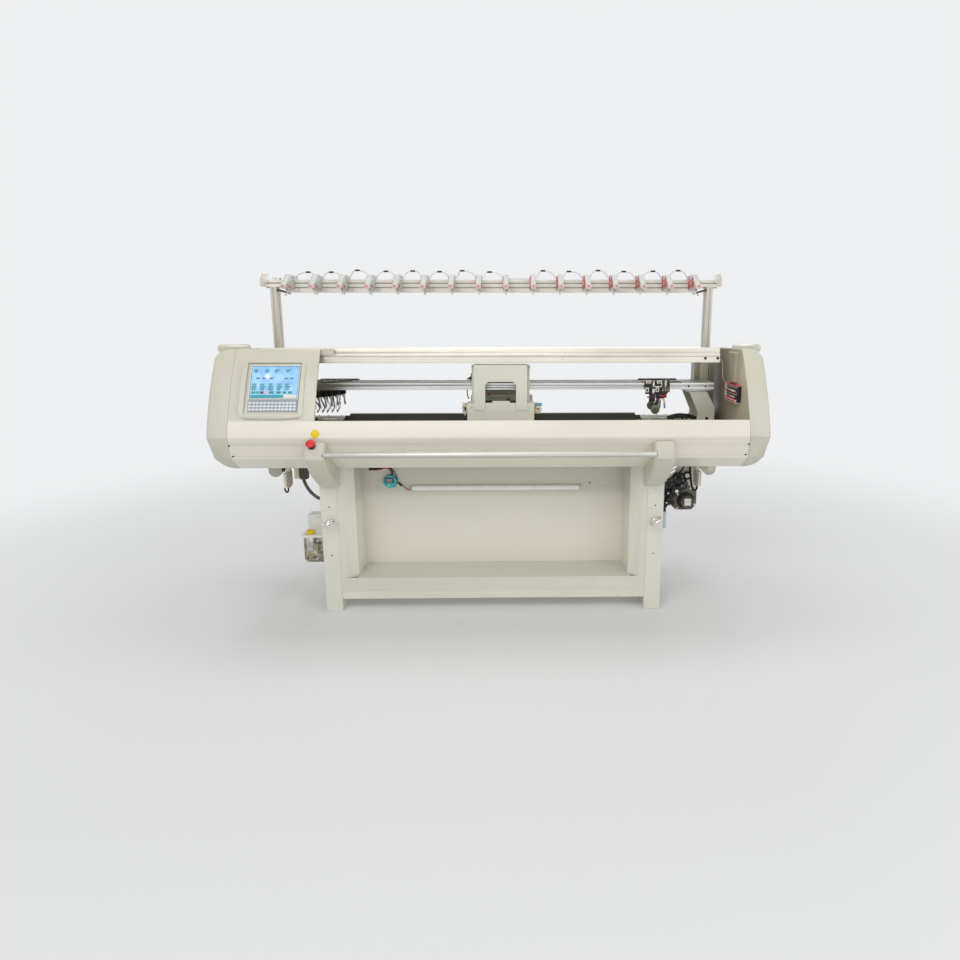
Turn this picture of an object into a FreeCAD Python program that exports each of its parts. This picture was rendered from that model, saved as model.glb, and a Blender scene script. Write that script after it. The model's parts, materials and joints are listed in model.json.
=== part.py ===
"""Computerised flat knitting machine with a V-bed, on two stands.

Frame: X runs along the needle beds, -Y faces the operator, +Z is up.
The origin lies on the floor, under the middle of the needle-bed gap. Lengths are in millimetres.
"""
import FreeCAD
import Part
import math
import os

import Sketcher

# ---------------------------------------------------------------- driving sizes
# Distances called "out" are measured from the needle-bed line, towards the front and the rear alike.
SIZES = {
    # casing section, the same at the front and on the end caps
    "half_length": 1200,
    "cap_wide": 90,
    "seam_lean": 28,
    "seam_gap": 1,
    "shell_wall": 4,
    "shell_top": 1238,
    "top_out": 213,
    "crown_fall": 17,
    "face_radius": 1100,
    "fold_z": 876,
    "fold_out": 402,
    "knee_z": 772,
    "knee_out": 338,
    "base_z": 706,
    "base_out": 220,
    "cap_top_radius": 60,
    "cap_foot_radius": 50,
    "cap_edge": 14,
    "panel_top": 945,
    "panel_fold_radius": 14,
    "groove_high": 840,
    "groove_low": 787,
    "groove_wide": 3,
    "groove_deep": 2,
    "rear_panel_top": 856,
    "rear_lip": 28,
    "inlet_wide": 90,
    "inlet_low": 790,
    "inlet_tall": 56,
    "inlet_rear": 430,
    # control housing, its rim, screen and keypad
    "housing_return": 14,
    "tongue_tall": 26,
    "tongue_out": 195,
    "tongue_thick": 8,
    "rim_low": 960,
    "rim_high": 1195,
    "rim_proud": 5,
    "rim_back": 10,
    "rim_corner": 22,
    "recess_low": 975,
    "recess_high": 1182,
    "recess_deep": 5,
    "screen_low": 1036,
    "screen_high": 1168,
    "keypad_low": 985,
    "keypad_high": 1027,
    "insert_thick": 5,
    # end panels inside the caps, with their terminal blocks
    "end_panel_thick": 3,
    "end_panel_lap": 2.3,
    "edge_clear": 0.3,
    "backplate_thick": 14,
    "backplate_front": 176,
    "backplate_rear": 62,
    "backplate_low": 1084,
    "backplate_high": 1216,
    "terminal_front": 245,
    "terminal_rear": 78,
    "terminal_deep": 24,
    "terminal_tall": 20,
    "terminal_pitch": 30,
    "terminal_low": 996,
    # stands and fabric bin
    "leg_wide": 77,
    "leg_deep": 115,
    "stand_out": 200,
    "stand_rail_tall": 70,
    "stand_rail_low": 70,
    "cross_rail_low": 62,
    "cross_rail_tall": 40,
    "cross_rail_deep": 40,
    "bin_wall": 3,
    "bin_floor": 168,
    "bin_lip_low": 102,
    "bin_back": 8,
    "bin_seam": 526,
    "bin_mouth_out": 170,
    "bin_top": 706,
    # bed casting and needle beds
    "ledge_out": 175,
    "ledge_in": 115,
    "ledge_z": 820,
    "throat_half": 12,
    "throat_z": 792,
    "roller_room": 45,
    "roller_room_z": 771,
    "lug_low": 622,
    "lug_front": 40,
    "lug_deep": 60,
    "lug_corner": 30,
    "idler_lug_wide": 50,
    "crest_z": 921,
    "bed_gap": 3,
    "bed_run": 107,
    "bed_drop": 31,
    "slide_gap": 0.3,
    "bed_end_gap": 3,
    "racking": 25,
    "end_plate_top": 903,
    "end_plate_out": 100,
    "end_plate_in": 8,
    "end_plate_flat": 32,
    "end_plate_foot": 824,
    "guide_in": 145,
    "guide_out": 165,
    "guide_tall": 18,
    # top beams, columns and feed posts
    "beam_front": 195,
    "beam_rear": 115,
    "beam_low": 1175,
    "beam_high": 1239,
    "beam_band": 1201,
    "beam_groove": 4,
    "beam_shoulder": 1212,
    "beam_step": 5,
    "beam_lean": 10,
    "rear_beam_low": 1150,
    "rear_beam_high": 1208,
    "column_front": 100,
    "column_rear": 168,
    "column_top": 1212,
    "column_plate_low": 985,
    "column_plate_thick": 3,
    "arm_wide": 30,
    "arm_low": 1178,
    "post_wide": 30,
    "post_deep": 65,
    "post_low": 960,
    "slot_wide": 8,
    "slot_deep": 5,
    # yarn rails and their brackets
    "rail_low": 1043,
    "rail_high": 1074,
    "rail_thick": 14,
    "rail_count": 4,
    "rail_pitch": 50,
    "rail_groove": 2,
    "bracket_elbow_z": 957,
    "bracket_waist_z": 945,
    "bracket_throat_z": 924,
    "bracket_foot_z": 900,
    "bracket_deep": 82,
    "bracket_web": 14,
    "bracket_bridge": 20,
    # feed bar, tension units and jumper leads
    "bar_bottom": 1488,
    "bar_waist": 1514,
    "bar_top": 1549,
    "bar_front": 180,
    "bar_rear": 220,
    "bar_groove": 3,
    "bar_end_thick": 6,
    "bar_end_front": 105,
    "bar_end_rear": 228,
    "bar_end_low": 1514,
    "bar_end_high": 1577,
    "bar_end_corner": 25,
    "unit_count": 16,
    "unit_margin": 127.5,
    "unit_wide": 24,
    "unit_top": 1570,
    "unit_front": 46,
    "unit_brow": 1524,
    "unit_chin": 1503,
    "unit_crown": 112,
    "unit_nape": 216,
    "unit_heel": 1560,
    "unit_tail": 232,
    "prong_wide": 5,
    "prong_deep": 6,
    "prong_low": 1476,
    "prong_first": 98,
    "prong_second": 138,
    "disc_radius": 10,
    "disc_thick": 14,
    "disc_z": 1511,
    "lever_thick": 3,
    "lead_radius": 2.6,
    "sleeve_radius": 4.2,
    "sleeve_long": 22,
    "lead_y": 186,
    "lead_foot": 1558,
    "lead_rise": 30,
    "lead_stub": 9,
    "lead_gap": 0.2,
    # operating bar, its brackets and the stop button
    "hook_wide": 88,
    "hook_edge": 8,
    "hook_top_z": 858,
    "hook_top_out": 405,
    "hook_brow_z": 830,
    "hook_brow_out": 432,
    "hook_nose_z": 790,
    "hook_nose_out": 439,
    "hook_curve": 560,
    "hook_foot_z": 613,
    "hook_foot_out": 212,
    "grip_radius": 13,
    "grip_y": 424,
    "grip_z": 806,
    "journal_radius": 8,
    "journal_long": 12,
    "running_fit": 0.05,
    "button_radius": 20,
    "button_head": 12,
    "button_stem": 8,
    "button_travel": 5,
    "button_seat_radius": 15,
    "button_seat_tall": 10,
    "button_bore_deep": 9,
    # take-down
    "roller_radius": 30,
    "roller_z": 739,
    "roller_gap": 18,
    "roller_journal": 10,
    "gearbox_low": 520,
    "gearbox_y": 60,
    "gearbox_plate": 8,
    "drive_plate_low": 465,
    "drive_plate_high": 610,
    "drive_plate_cut": 45,
    "drive_plate_gap": 6,
    "takedown_motor_z": 505,
    "takedown_motor_radius": 31,
    "takedown_motor_long": 38,
    "takedown_shaft": 6,
    "takedown_pulley_z": 555,
    "takedown_pulley_radius": 24,
    "takedown_pulley_wide": 20,
    # lubricator
    "lube_front": 30,
    "lube_rear": 30,
    "lube_low": 346,
    "lube_high": 430,
    "lube_cut": 4,
    "lube_plate_half": 125,
    "tray_front": 98,
    "tray_tall": 12,
    "tank_front": 91,
    "tank_low": 208,
    "tank_cut": 14,
    "filler_y": 68,
    "filler_radius": 19.5,
    "filler_tall": 17,
    "filler_edge": 3,
    "filler_stem": 12,
    # lamp in the bin
    "lamp_half": 415,
    "lamp_centre": 10,
    "lamp_low": 541,
    "lamp_high": 569,
    "lamp_deep": 18,
    "lamp_round": 24,
    "adapter_z": 590,
    "adapter_radius": 33,
    "adapter_deep": 22,
    # small hardware and power gear
    "eye_z": 452,
    "eye_ring": 25,
    "eye_wire": 7,
    "eye_shank": 12,
    "eye_tilt_left": -18,
    "eye_tilt_right": -38,
    "tube_z": 1239,
    "tube_radius": 18.5,
    "tube_front": 175,
    "tube_rear": 130,
    "unit_power_wide": 20,
    "unit_power_front": 170,
    "unit_power_deep": 70,
    "unit_power_low": 601,
    "unit_power_tall": 66,
    "fin_count": 6,
    "fin_deep": 8,
    "hanger_wide": 16,
    # carriage drive
    "pulley_z": 842,
    "pulley_radius": 24,
    "pulley_front": 205,
    "pulley_rear": 227,
    "pulley_shaft": 8,
    "belt_thick": 4,
    "belt_edge": 2,
    "motor_rear": 330,
    "motor_gap": 5,
    "motor_radius": 45,
    "shelf_thick": 6,
    "shelf_wide": 66,
    # carriage, drawn at its rest place
    "carriage_x": 40,
    "box_half": 151,
    "box_front": 190,
    "box_top": 995,
    "box_shoulder": 118,
    "box_nose_out": 42,
    "box_nose_z": 940,
    "bed_clear": 4,
    "foot_clear": 2,
    "brush_wide": 22,
    "brush_front": 172,
    "brush_deep": 22,
    "brush_low": 945,
    "brush_high": 993,
    "bridge_half": 131,
    "bridge_wall": 38,
    "bridge_in": 112,
    "bridge_low": 1102,
    "bridge_high": 1162,
    "bridge_leg": 46,
    "cover_half": 119.5,
    "cover_thick": 4,
    "cover_high": 1166,
    "cover_low": 962,
    "window_half": 69,
    "window_top": 1090,
    "window_cut": 14,
    "clamp_wide": 60,
    "clamp_tall": 24,
    # yarn carriers, one to a track, from the front lane to the rear lane
    "carrier_plate_half": 95,
    "carrier_plate_thick": 5,
    "carrier_block_half": 29,
    "carrier_block_thick": 12,
    "carrier_block_low": 1002,
    "carrier_arm_wide": 14,
    "carrier_arm_thick": 2.5,
    "carrier_knee_z": 992,
    "carrier_ankle_z": 950,
    "carrier_tip_z": 926,
    "carrier_tip_pitch": 4,
    "carrier_left_pitch": 22,
    "carrier_right_pitch": 10,
}

# Places along X that stay this far inside the machine's end, half_length.
INSIDE_END = {
    "leg_outer": 405,
    "bed_half": 519,
    "lug_inner": 197,
    "lug_outer": 124,
    "inlet_left": 260,
    "housing_inner": 454,
    "tongue_end": 509,
    "rim_left": 134,
    "rim_right": 404,
    "recess_left": 154,
    "recess_right": 385,
    "screen_left": 171,
    "screen_right": 375,
    "keypad_left": 169,
    "keypad_right": 377,
    "base_half": 92,
    "end_plate_far": 340,
    "guide_half": 220,
    "beam_half": 180,
    "column_inner": 215,
    "column_outer": 115,
    "column_plate_inner": 190,
    "column_plate_outer": 138,
    "post_inner": 156,
    "rail_half": 167,
    "bracket_top_inner": 286,
    "bracket_top_outer": 203,
    "bracket_elbow_outer": 157,
    "bracket_waist_inner": 243,
    "bracket_throat_inner": 233,
    "bar_half": 105,
    "bar_strip_half": 205,
    "tube_x": 10,
    "pulley_x": 144,
    "carrier_left_first": 348,
    "carrier_right_first": 414,
}

# Places along X that stay this far outside the legs' outer face, leg_outer.
OUTSIDE_LEG = {
    "bin_flange_end": -103,
    "bin_mouth": -155,
    "bin_side": -160,
    "hook_outer": -9,
    "button_x": -43,
    "gearbox_left": 25,
    "gearbox_right": 180,
    "drive_plate_left": 55,
    "takedown_motor_x": 133,
    "takedown_pulley_x": 83,
    "adapter_x": -292,
    "lube_left": 114,
    "lube_right": 2,
    "tray_left": 131,
    "tank_left": 122,
    "filler_x": 92,
    "eye_x": -43,
    "unit_power_left": 149,
    "unit_power_right": 158,
}

DOCUMENT = FreeCAD.newDocument("flat_knitting_machine")


class Dim:
    """A length from the sheet, carried with the expression that gives it."""

    def __init__(self, text, value):
        self.text = text
        self.value = value

    def __add__(self, other):
        return combined(self, "+", other, self.value + number(other))

    def __radd__(self, other):
        return combined(other, "+", self, number(other) + self.value)

    def __sub__(self, other):
        return combined(self, "-", other, self.value - number(other))

    def __rsub__(self, other):
        return combined(other, "-", self, number(other) - self.value)

    def __mul__(self, other):
        return combined(self, "*", other, self.value * number(other))

    def __rmul__(self, other):
        return combined(other, "*", self, number(other) * self.value)

    def __truediv__(self, other):
        return combined(self, "/", other, self.value / number(other))

    def __neg__(self):
        return combined(0, "-", self, -self.value)


def number(amount):
    return amount.value if isinstance(amount, Dim) else float(amount)


def text(amount):
    return amount.text if isinstance(amount, Dim) else repr(float(amount))


def combined(first, sign, second, value):
    return Dim("(%s %s %s)" % (text(first), sign, text(second)), value)


def root(amount):
    return Dim("sqrt(%s)" % text(amount), math.sqrt(number(amount)))


class Sheet:
    """The spreadsheet of driving sizes; each is read as an attribute."""

    def __init__(self):
        cells = {name: str(size) for name, size in SIZES.items()}
        for name, inset in INSIDE_END.items():
            cells[name] = "=half_length - %s" % inset
        for name, reach in OUTSIDE_LEG.items():
            cells[name] = "=leg_outer + (%s)" % reach
        sheet = DOCUMENT.addObject("Spreadsheet::Sheet", "Sizes")
        for row, (name, cell) in enumerate(cells.items(), 1):
            sheet.set("A%d" % row, name)
            sheet.set("B%d" % row, cell)
            sheet.setAlias("B%d" % row, name)
        DOCUMENT.recompute()
        for name in cells:
            setattr(self, name, Dim("Sizes." + name, float(sheet.get(name))))


S = Sheet()


# ---------------------------------------------------------------- ways of making a piece
class Bend:
    """In an outline, the side after this mark is an arc, anticlockwise unless told otherwise."""

    def __init__(self, radius, clockwise=False):
        self.radius = radius
        self.clockwise = clockwise


def vector(point):
    return FreeCAD.Vector(*[number(part) for part in point])


def flat(point):
    return FreeCAD.Vector(number(point[0]), number(point[1]), 0)


def arc_side(first, last, bend):
    """An arc from first to last, and the numbers of its vertices at first and at last."""
    if bend.clockwise:
        arc, end, start = arc_side(last, first, Bend(bend.radius))
        return arc, start, end
    radius = number(bend.radius)
    chord = last - first
    inward = FreeCAD.Vector(-chord.y, chord.x, 0).normalize()
    # In a half circle the two lengths are the same but for their last digit.
    rise = math.sqrt(abs(radius ** 2 - (chord.Length / 2) ** 2))
    centre = (first + last) / 2 + inward * rise
    turns = [math.atan2(end.y - centre.y, end.x - centre.x) for end in (first, last)]
    circle = Part.Circle(centre, FreeCAD.Vector(0, 0, 1), radius)
    return Part.ArcOfCircle(circle, turns[0], turns[1]), 1, 2


def bind(sketch, kind, places, size):
    """A dimension of the sketch that follows the sheet."""
    row = sketch.addConstraint(Sketcher.Constraint(kind, *places, number(size)))
    if isinstance(size, Dim):
        sketch.setExpression("Constraints[%d]" % row, size.text)


def draw(sketch, outline):
    """Draw one closed outline: corners as pairs of lengths, with Bend marks before arcs."""
    corners = [item for item in outline if not isinstance(item, Bend)]
    bends = {}
    for place, item in enumerate(outline):
        if isinstance(item, Bend):
            bends[place - len(bends) - 1] = item
    sides = []
    for index, corner in enumerate(corners):
        first, last = flat(corner), flat(corners[(index + 1) % len(corners)])
        if index in bends:
            shape, start, end = arc_side(first, last, bends[index])
        else:
            shape, start, end = Part.LineSegment(first, last), 1, 2
        sides.append((sketch.addGeometry(shape), start, end))
    for index, (side, start, end) in enumerate(sides):
        after = sides[(index + 1) % len(sides)]
        sketch.addConstraint(Sketcher.Constraint("Coincident", side, end, after[0], after[1]))
        bind(sketch, "DistanceX", (-1, 1, side, start), corners[index][0])
        bind(sketch, "DistanceY", (-1, 1, side, start), corners[index][1])
        if index in bends:
            bind(sketch, "Radius", (side,), bends[index].radius)


def draw_circle(sketch, centre, radius):
    circle = Part.Circle(flat(centre), FreeCAD.Vector(0, 0, 1), number(radius))
    side = sketch.addGeometry(circle)
    bind(sketch, "DistanceX", (-1, 1, side, 3), centre[0])
    bind(sketch, "DistanceY", (-1, 1, side, 3), centre[1])
    bind(sketch, "Radius", (side,), radius)


def origin_part(body, role):
    return [feature for feature in body.Origin.OriginFeatures if feature.Role == role][0]


def new_sketch(body, name, plane, start):
    """A sketch on an origin plane, moved along the plane's normal to start."""
    sketch = body.newObject("Sketcher::SketchObject", name)
    sketch.AttachmentSupport = [(origin_part(body, plane + "_Plane"), "")]
    sketch.MapMode = "FlatFace"
    sketch.setExpression("AttachmentOffset.Base.z", text(start))
    return sketch


def add_pad(body, name, plane, outlines, low, high, circles=()):
    """Pad closed outlines from low to high; in plane XZ they run along Y, and so on."""
    start = -high if plane == "XZ" else low
    sketch = new_sketch(body, name + "_outline", plane, start)
    for outline in outlines:
        draw(sketch, outline)
    for centre, radius in circles:
        draw_circle(sketch, centre, radius)
    pad = body.newObject("PartDesign::Pad", name + "_pad")
    pad.Profile = sketch
    pad.setExpression("Length", text(high - low))
    return pad


def prism(name, plane, outline, low, high):
    body = DOCUMENT.addObject("PartDesign::Body", name)
    add_pad(body, name, plane, [outline], low, high)
    return body


def turned(name, outline):
    """A solid of revolution about the body's own Z axis; corners are (radius, height)."""
    body = DOCUMENT.addObject("PartDesign::Body", name)
    sketch = new_sketch(body, name + "_outline", "XZ", 0)
    draw(sketch, outline)
    turn = body.newObject("PartDesign::Revolution", name + "_turn")
    turn.Profile = sketch
    turn.ReferenceAxis = (sketch, ["V_Axis"])
    turn.Angle = 360
    return body


def pattern(body, axis, step, count):
    """Repeat the body's features along an origin axis."""
    DOCUMENT.recompute()
    body.AllowCompound = True
    row = body.newObject("PartDesign::LinearPattern", body.Name + "_row")
    row.Originals = [item for item in body.Group if item.TypeId == "PartDesign::Pad"]
    row.Direction = (origin_part(body, axis + "_Axis"), [""])
    row.setExpression("Length", text(step * (count - 1)))
    row.Occurrences = int(number(count))
    body.Tip = row
    return body


def soften(body, size, wanted, kind="Fillet"):
    """Round or chamfer the edges of the body that wanted() picks."""
    DOCUMENT.recompute()
    base = body.Tip
    edges = ["Edge%d" % place for place, edge in enumerate(base.Shape.Edges, 1) if wanted(edge)]
    dressing = body.newObject("PartDesign::" + kind, body.Name + "_edges")
    dressing.Base = (base, edges)
    dressing.setExpression("Radius" if kind == "Fillet" else "Size", text(size))
    body.Tip = dressing
    return body


TURNS = {
    "X": FreeCAD.Rotation(FreeCAD.Vector(0, 1, 0), 90),
    "Y": FreeCAD.Rotation(FreeCAD.Vector(1, 0, 0), -90),
    "Z": FreeCAD.Rotation(),
}


def place(item, at, rotation=None):
    """Put a piece at a point; its turn is set before the bound coordinates."""
    item.Placement = FreeCAD.Placement(vector(at), rotation or FreeCAD.Rotation())
    for axis, amount in zip("xyz", at):
        item.setExpression("Placement.Base." + axis, text(amount))
    return item


def block(name, low, high):
    """A rectangular piece between two corners."""
    box = DOCUMENT.addObject("Part::Box", name)
    for side, near, far in zip(("Length", "Width", "Height"), low, high):
        box.setExpression(side, text(far - near))
    return place(box, low)


def rod(name, axis, centre, radius, low, high):
    """A round bar along an axis; centre gives its two other coordinates, in order."""
    bar = DOCUMENT.addObject("Part::Cylinder", name)
    bar.setExpression("Radius", text(radius))
    bar.setExpression("Height", text(high - low))
    at = list(centre)
    at.insert("XYZ".index(axis), low)
    return place(bar, at, TURNS[axis])


def joined(name, pieces):
    fuse = DOCUMENT.addObject("Part::MultiFuse", name)
    fuse.Shapes = pieces
    return fuse


def cut(name, base, tool):
    result = DOCUMENT.addObject("Part::Cut", name)
    result.Base = base
    result.Tool = tool
    return result


def common(name, first, second):
    result = DOCUMENT.addObject("Part::MultiCommon", name)
    result.Shapes = [first, second]
    return result


def group(name, pieces):
    """Several separate solids kept as one sub-part."""
    result = DOCUMENT.addObject("Part::Compound", name)
    result.Links = pieces
    return result


def mirrored(name, source, axis="X"):
    """The copy of a piece on the other side of the machine."""
    copy = DOCUMENT.addObject("Part::Mirroring", name)
    copy.Source = source
    copy.Normal = FreeCAD.Vector(axis == "X", axis == "Y", 0)
    return copy


def pair(name, source, axis="X"):
    """A piece and its mirror image in one sub-part."""
    return group(name, [source, mirrored(source.Name + "_twin", source, axis)])


def path_of(points):
    """Straight runs joined by tangent arcs, each as large as its two runs allow."""
    share = 0.45
    edges = []
    start = points[0]
    for before, corner, after in zip(points, points[1:], points[2:]):
        back = before - corner
        ahead = after - corner
        trim = share * min(back.Length, ahead.Length)
        half_opening = back.getAngle(ahead) / 2
        radius = trim * math.tan(half_opening)
        back.normalize()
        ahead.normalize()
        middle = (back + ahead).normalize()
        first, last = corner + back * trim, corner + ahead * trim
        reach = radius / math.sin(half_opening) - radius
        edges.append(Part.LineSegment(start, first).toShape())
        edges.append(Part.Arc(first, corner + middle * reach, last).toShape())
        start = last
    edges.append(Part.LineSegment(start, points[-1]).toShape())
    return Part.Wire(edges)


def tube(points, radius):
    """A round cord swept along a path through its corner points."""
    path = path_of(points)
    ring = Part.makeCircle(radius, points[0], points[1] - points[0])
    return path.makePipeShell([Part.Wire([ring])], True, False)


def feature(name, shape):
    piece = DOCUMENT.addObject("Part::Feature", name)
    piece.Shape = shape
    return piece


# ---------------------------------------------------------------- places shared by several pieces
CAP_INNER = S.half_length - S.cap_wide
INNER_LEG = S.leg_outer - S.leg_wide
CASTING_END = S.bed_half + S.racking + S.bed_end_gap
ROLLER_HALF = CASTING_END - S.roller_gap
BOX_FOOT = S.ledge_z + S.foot_clear
HOOK_INNER = S.hook_outer - S.hook_wide
UNIT_PITCH = 2 * (S.bar_half - S.unit_margin) / (S.unit_count - 1)
MARGIN = 10


def face_out(height, inset=0):
    """How far the curved front face stands out from the bed line at a height."""
    rise = S.shell_top - S.fold_z
    run = S.fold_out - S.top_out
    chord = root(rise * rise + run * run)
    sag = root(S.face_radius * S.face_radius - chord * chord / 4)
    centre_out = (S.fold_out + S.top_out) / 2 - sag * rise / chord
    centre_z = (S.shell_top + S.fold_z) / 2 - sag * run / chord
    reach = S.face_radius - inset
    return centre_out + root(reach * reach - (height - centre_z) * (height - centre_z))


def lower_out(height):
    """How far the panel below the fold stands out at a height."""
    share = (S.fold_z - height) / (S.fold_z - S.knee_z)
    return S.fold_out - share * (S.fold_out - S.knee_out)


def casing_outline(inset, fall=0):
    """Section of the end caps, anticlockwise from the foot; fall lowers its rear top edge."""
    radius = S.face_radius - inset
    base, fold = S.base_z + inset, S.fold_out - inset
    top, crown = S.shell_top - inset, S.top_out - inset
    foot, knee = S.base_out - inset, S.knee_out - inset
    rear_edge = (crown, top - fall)
    rear = [(foot, base), (knee, S.knee_z), (fold, S.fold_z), Bend(radius), rear_edge]
    front = [(-crown, top), Bend(radius), (-fold, S.fold_z), (-knee, S.knee_z), (-foot, base)]
    return rear + front


def on_crown(name, item):
    """The piece tilted about the caps' front top edge, as their top falls towards the rear."""
    fall = math.degrees(math.atan2(number(S.crown_fall), 2 * number(S.top_out)))
    tilt = FreeCAD.Rotation(FreeCAD.Vector(1, 0, 0), -fall)
    edge = vector((0, -S.top_out, S.shell_top))
    tilted = group(name, [item])
    tilted.Placement = FreeCAD.Placement(edge - tilt.multVec(edge), tilt)
    return tilted


# ---------------------------------------------------------------- stands and fabric bin
def stand():
    inner = INNER_LEG
    back = S.stand_out - S.leg_deep
    rail_top = S.stand_rail_low + S.stand_rail_tall
    head_low = S.base_z - S.stand_rail_tall
    legs = [
        block("stand_front_leg", (inner, -S.stand_out, 0), (S.leg_outer, -back, S.base_z)),
        block("stand_rear_leg", (inner, back, 0), (S.leg_outer, S.stand_out, S.base_z)),
        block("stand_foot_rail", (inner, -back, S.stand_rail_low), (S.leg_outer, back, rail_top)),
        block("stand_head_rail", (inner, -back, head_low), (S.leg_outer, back, S.base_z)),
    ]
    return joined("right_stand", legs)


def cross_rails():
    inner = INNER_LEG
    low = (-inner, -S.stand_out, S.cross_rail_low)
    high = (inner, S.cross_rail_deep - S.stand_out, S.cross_rail_low + S.cross_rail_tall)
    return pair("cross_rails", block("front_cross_rail", low, high), "Y")


def fabric_bin():
    wall, back = S.bin_wall, S.bin_back
    seam, front = S.bin_seam, -S.stand_out
    fold = [
        (front, S.bin_lip_low),
        (front + wall, S.bin_lip_low),
        (front + wall, S.bin_floor - wall),
        (back, S.bin_floor - wall),
        (back, seam + wall),
        (back - wall, seam + wall),
        (back - wall, S.bin_top),
        (back - 2 * wall, S.bin_top),
        (back - 2 * wall, seam),
        (back - wall, seam),
        (back - wall, S.bin_floor),
        (front, S.bin_floor),
    ]
    sheet = prism("bin_fold", "YZ", fold, -S.bin_mouth, S.bin_mouth)
    flange, mouth, side = S.bin_flange_end, S.bin_mouth, S.bin_side
    inner_leg = INNER_LEG
    cheek = [
        (inner_leg, front),
        (inner_leg, front + wall),
        (flange + wall, front + wall),
        (mouth + wall, wall - S.bin_mouth_out),
        (side + wall, back),
        (side, back),
        (mouth, -S.bin_mouth_out),
        (flange, front),
    ]
    right = prism("bin_cheek", "XY", cheek, S.bin_floor - wall, S.bin_top)
    lip = block(
        "bin_lip_end",
        (mouth, front, S.bin_lip_low),
        (inner_leg, front + wall, S.bin_floor),
    )
    left = [mirrored("bin_cheek_left", right), mirrored("bin_lip_end_left", lip)]
    return joined("fabric_bin", [sheet, right, lip] + left)


# ---------------------------------------------------------------- bed casting and needle beds
def bed_base():
    slope = S.crest_z + S.bed_gap - S.bed_drop
    half = [
        (-S.ledge_out, S.base_z),
        (-S.roller_room, S.base_z),
        (-S.roller_room, S.roller_room_z),
        (-S.throat_half, S.throat_z),
        (-S.throat_half, slope - S.throat_half),
        (-S.ledge_in, slope - S.ledge_in),
        (-S.ledge_in, S.ledge_z),
        (-S.ledge_out, S.ledge_z),
    ]
    front = prism("base_front", "YZ", half, -CASTING_END, CASTING_END)
    rear_half = [(-out, height) for out, height in reversed(half)]
    rear_half[2] = (S.ledge_in, slope - S.ledge_in - S.slide_gap)
    rear_half[3] = (S.throat_half, slope - S.throat_half - S.slide_gap)
    rear = prism("base_rear", "YZ", rear_half, -CASTING_END, CASTING_END)
    end = block(
        "base_end",
        (CASTING_END, -S.ledge_out, S.base_z),
        (S.base_half, S.ledge_out, S.ledge_z),
    )
    lug_outline = [
        (S.lug_inner, S.lug_low + S.lug_corner),
        (S.lug_inner + S.lug_corner, S.lug_low),
        (S.lug_outer - S.lug_corner, S.lug_low),
        Bend(S.lug_corner),
        (S.lug_outer, S.lug_low + S.lug_corner),
        (S.lug_outer, S.base_z),
        (S.lug_inner, S.base_z),
    ]
    lug = prism("base_lug", "XZ", lug_outline, -S.lug_front, S.lug_deep - S.lug_front)
    twins = [mirrored("base_end_left", end), mirrored("base_lug_left", lug)]
    shelf_far = S.pulley_x + S.idler_lug_wide / 2
    idler_lug = block(
        "idler_lug",
        (-shelf_far, S.ledge_out, S.pulley_z - S.idler_lug_wide),
        (S.idler_lug_wide - shelf_far, S.pulley_front - S.belt_edge, S.pulley_z + S.pulley_shaft),
    )
    axle = rod(
        "idler_axle", "Y", (-S.pulley_x, S.pulley_z), S.pulley_shaft, S.ledge_out, S.pulley_rear
    )
    casting = joined("base_casting", [front, rear, end, lug, idler_lug, axle] + twins)
    reach = CASTING_END + S.roller_journal
    bore_radius = S.roller_journal + S.running_fit
    bore = rod("roller_bore", "X", (0, S.roller_z), bore_radius, -reach, reach)
    return cut("bed_base", casting, bore)


def bed_outline(side):
    gap, run = S.bed_gap, S.bed_run
    corners = [
        (gap, S.crest_z - S.bed_drop),
        (gap + run, S.crest_z - run - S.bed_drop),
        (gap + run, S.crest_z - run),
        (gap, S.crest_z),
    ]
    return [(side * out, height) for out, height in corners]


def front_needle_bed():
    return prism("front_needle_bed", "YZ", bed_outline(-1), -S.bed_half, S.bed_half)


def rear_needle_bed():
    return prism("rear_needle_bed", "YZ", bed_outline(1), -S.bed_half, S.bed_half)


def bed_end_plates():
    outline = [
        (S.end_plate_in, S.ledge_z),
        (S.end_plate_out, S.ledge_z),
        (S.end_plate_out, S.end_plate_foot),
        (S.end_plate_flat, S.crest_z + S.bed_gap - S.end_plate_flat),
        (S.end_plate_flat, S.end_plate_top),
        (S.end_plate_in, S.end_plate_top),
    ]
    near, far = CASTING_END, S.end_plate_far
    front_outline = [(-out, height) for out, height in outline]
    front = prism("front_end_plate", "YZ", front_outline, near, far)
    rear = prism("rear_end_plate", "YZ", outline, near, far)
    return pair("bed_end_plates", group("right_end_plates", [front, rear]))


def guide_rails():
    low = (-S.guide_half, -S.guide_out, S.ledge_z)
    high = (S.guide_half, -S.guide_in, S.ledge_z + S.guide_tall)
    return pair("guide_rails", block("front_guide_rail", low, high), "Y")


# ---------------------------------------------------------------- casing
def groove(height):
    """The four corners of a narrow groove across the panel, from its upper to its lower edge."""
    upper, lower = height + S.groove_wide / 2, height - S.groove_wide / 2
    return [
        (-lower_out(upper), upper),
        (S.groove_deep - lower_out(upper), upper),
        (S.groove_deep - lower_out(lower), lower),
        (-lower_out(lower), lower),
    ]


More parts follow.
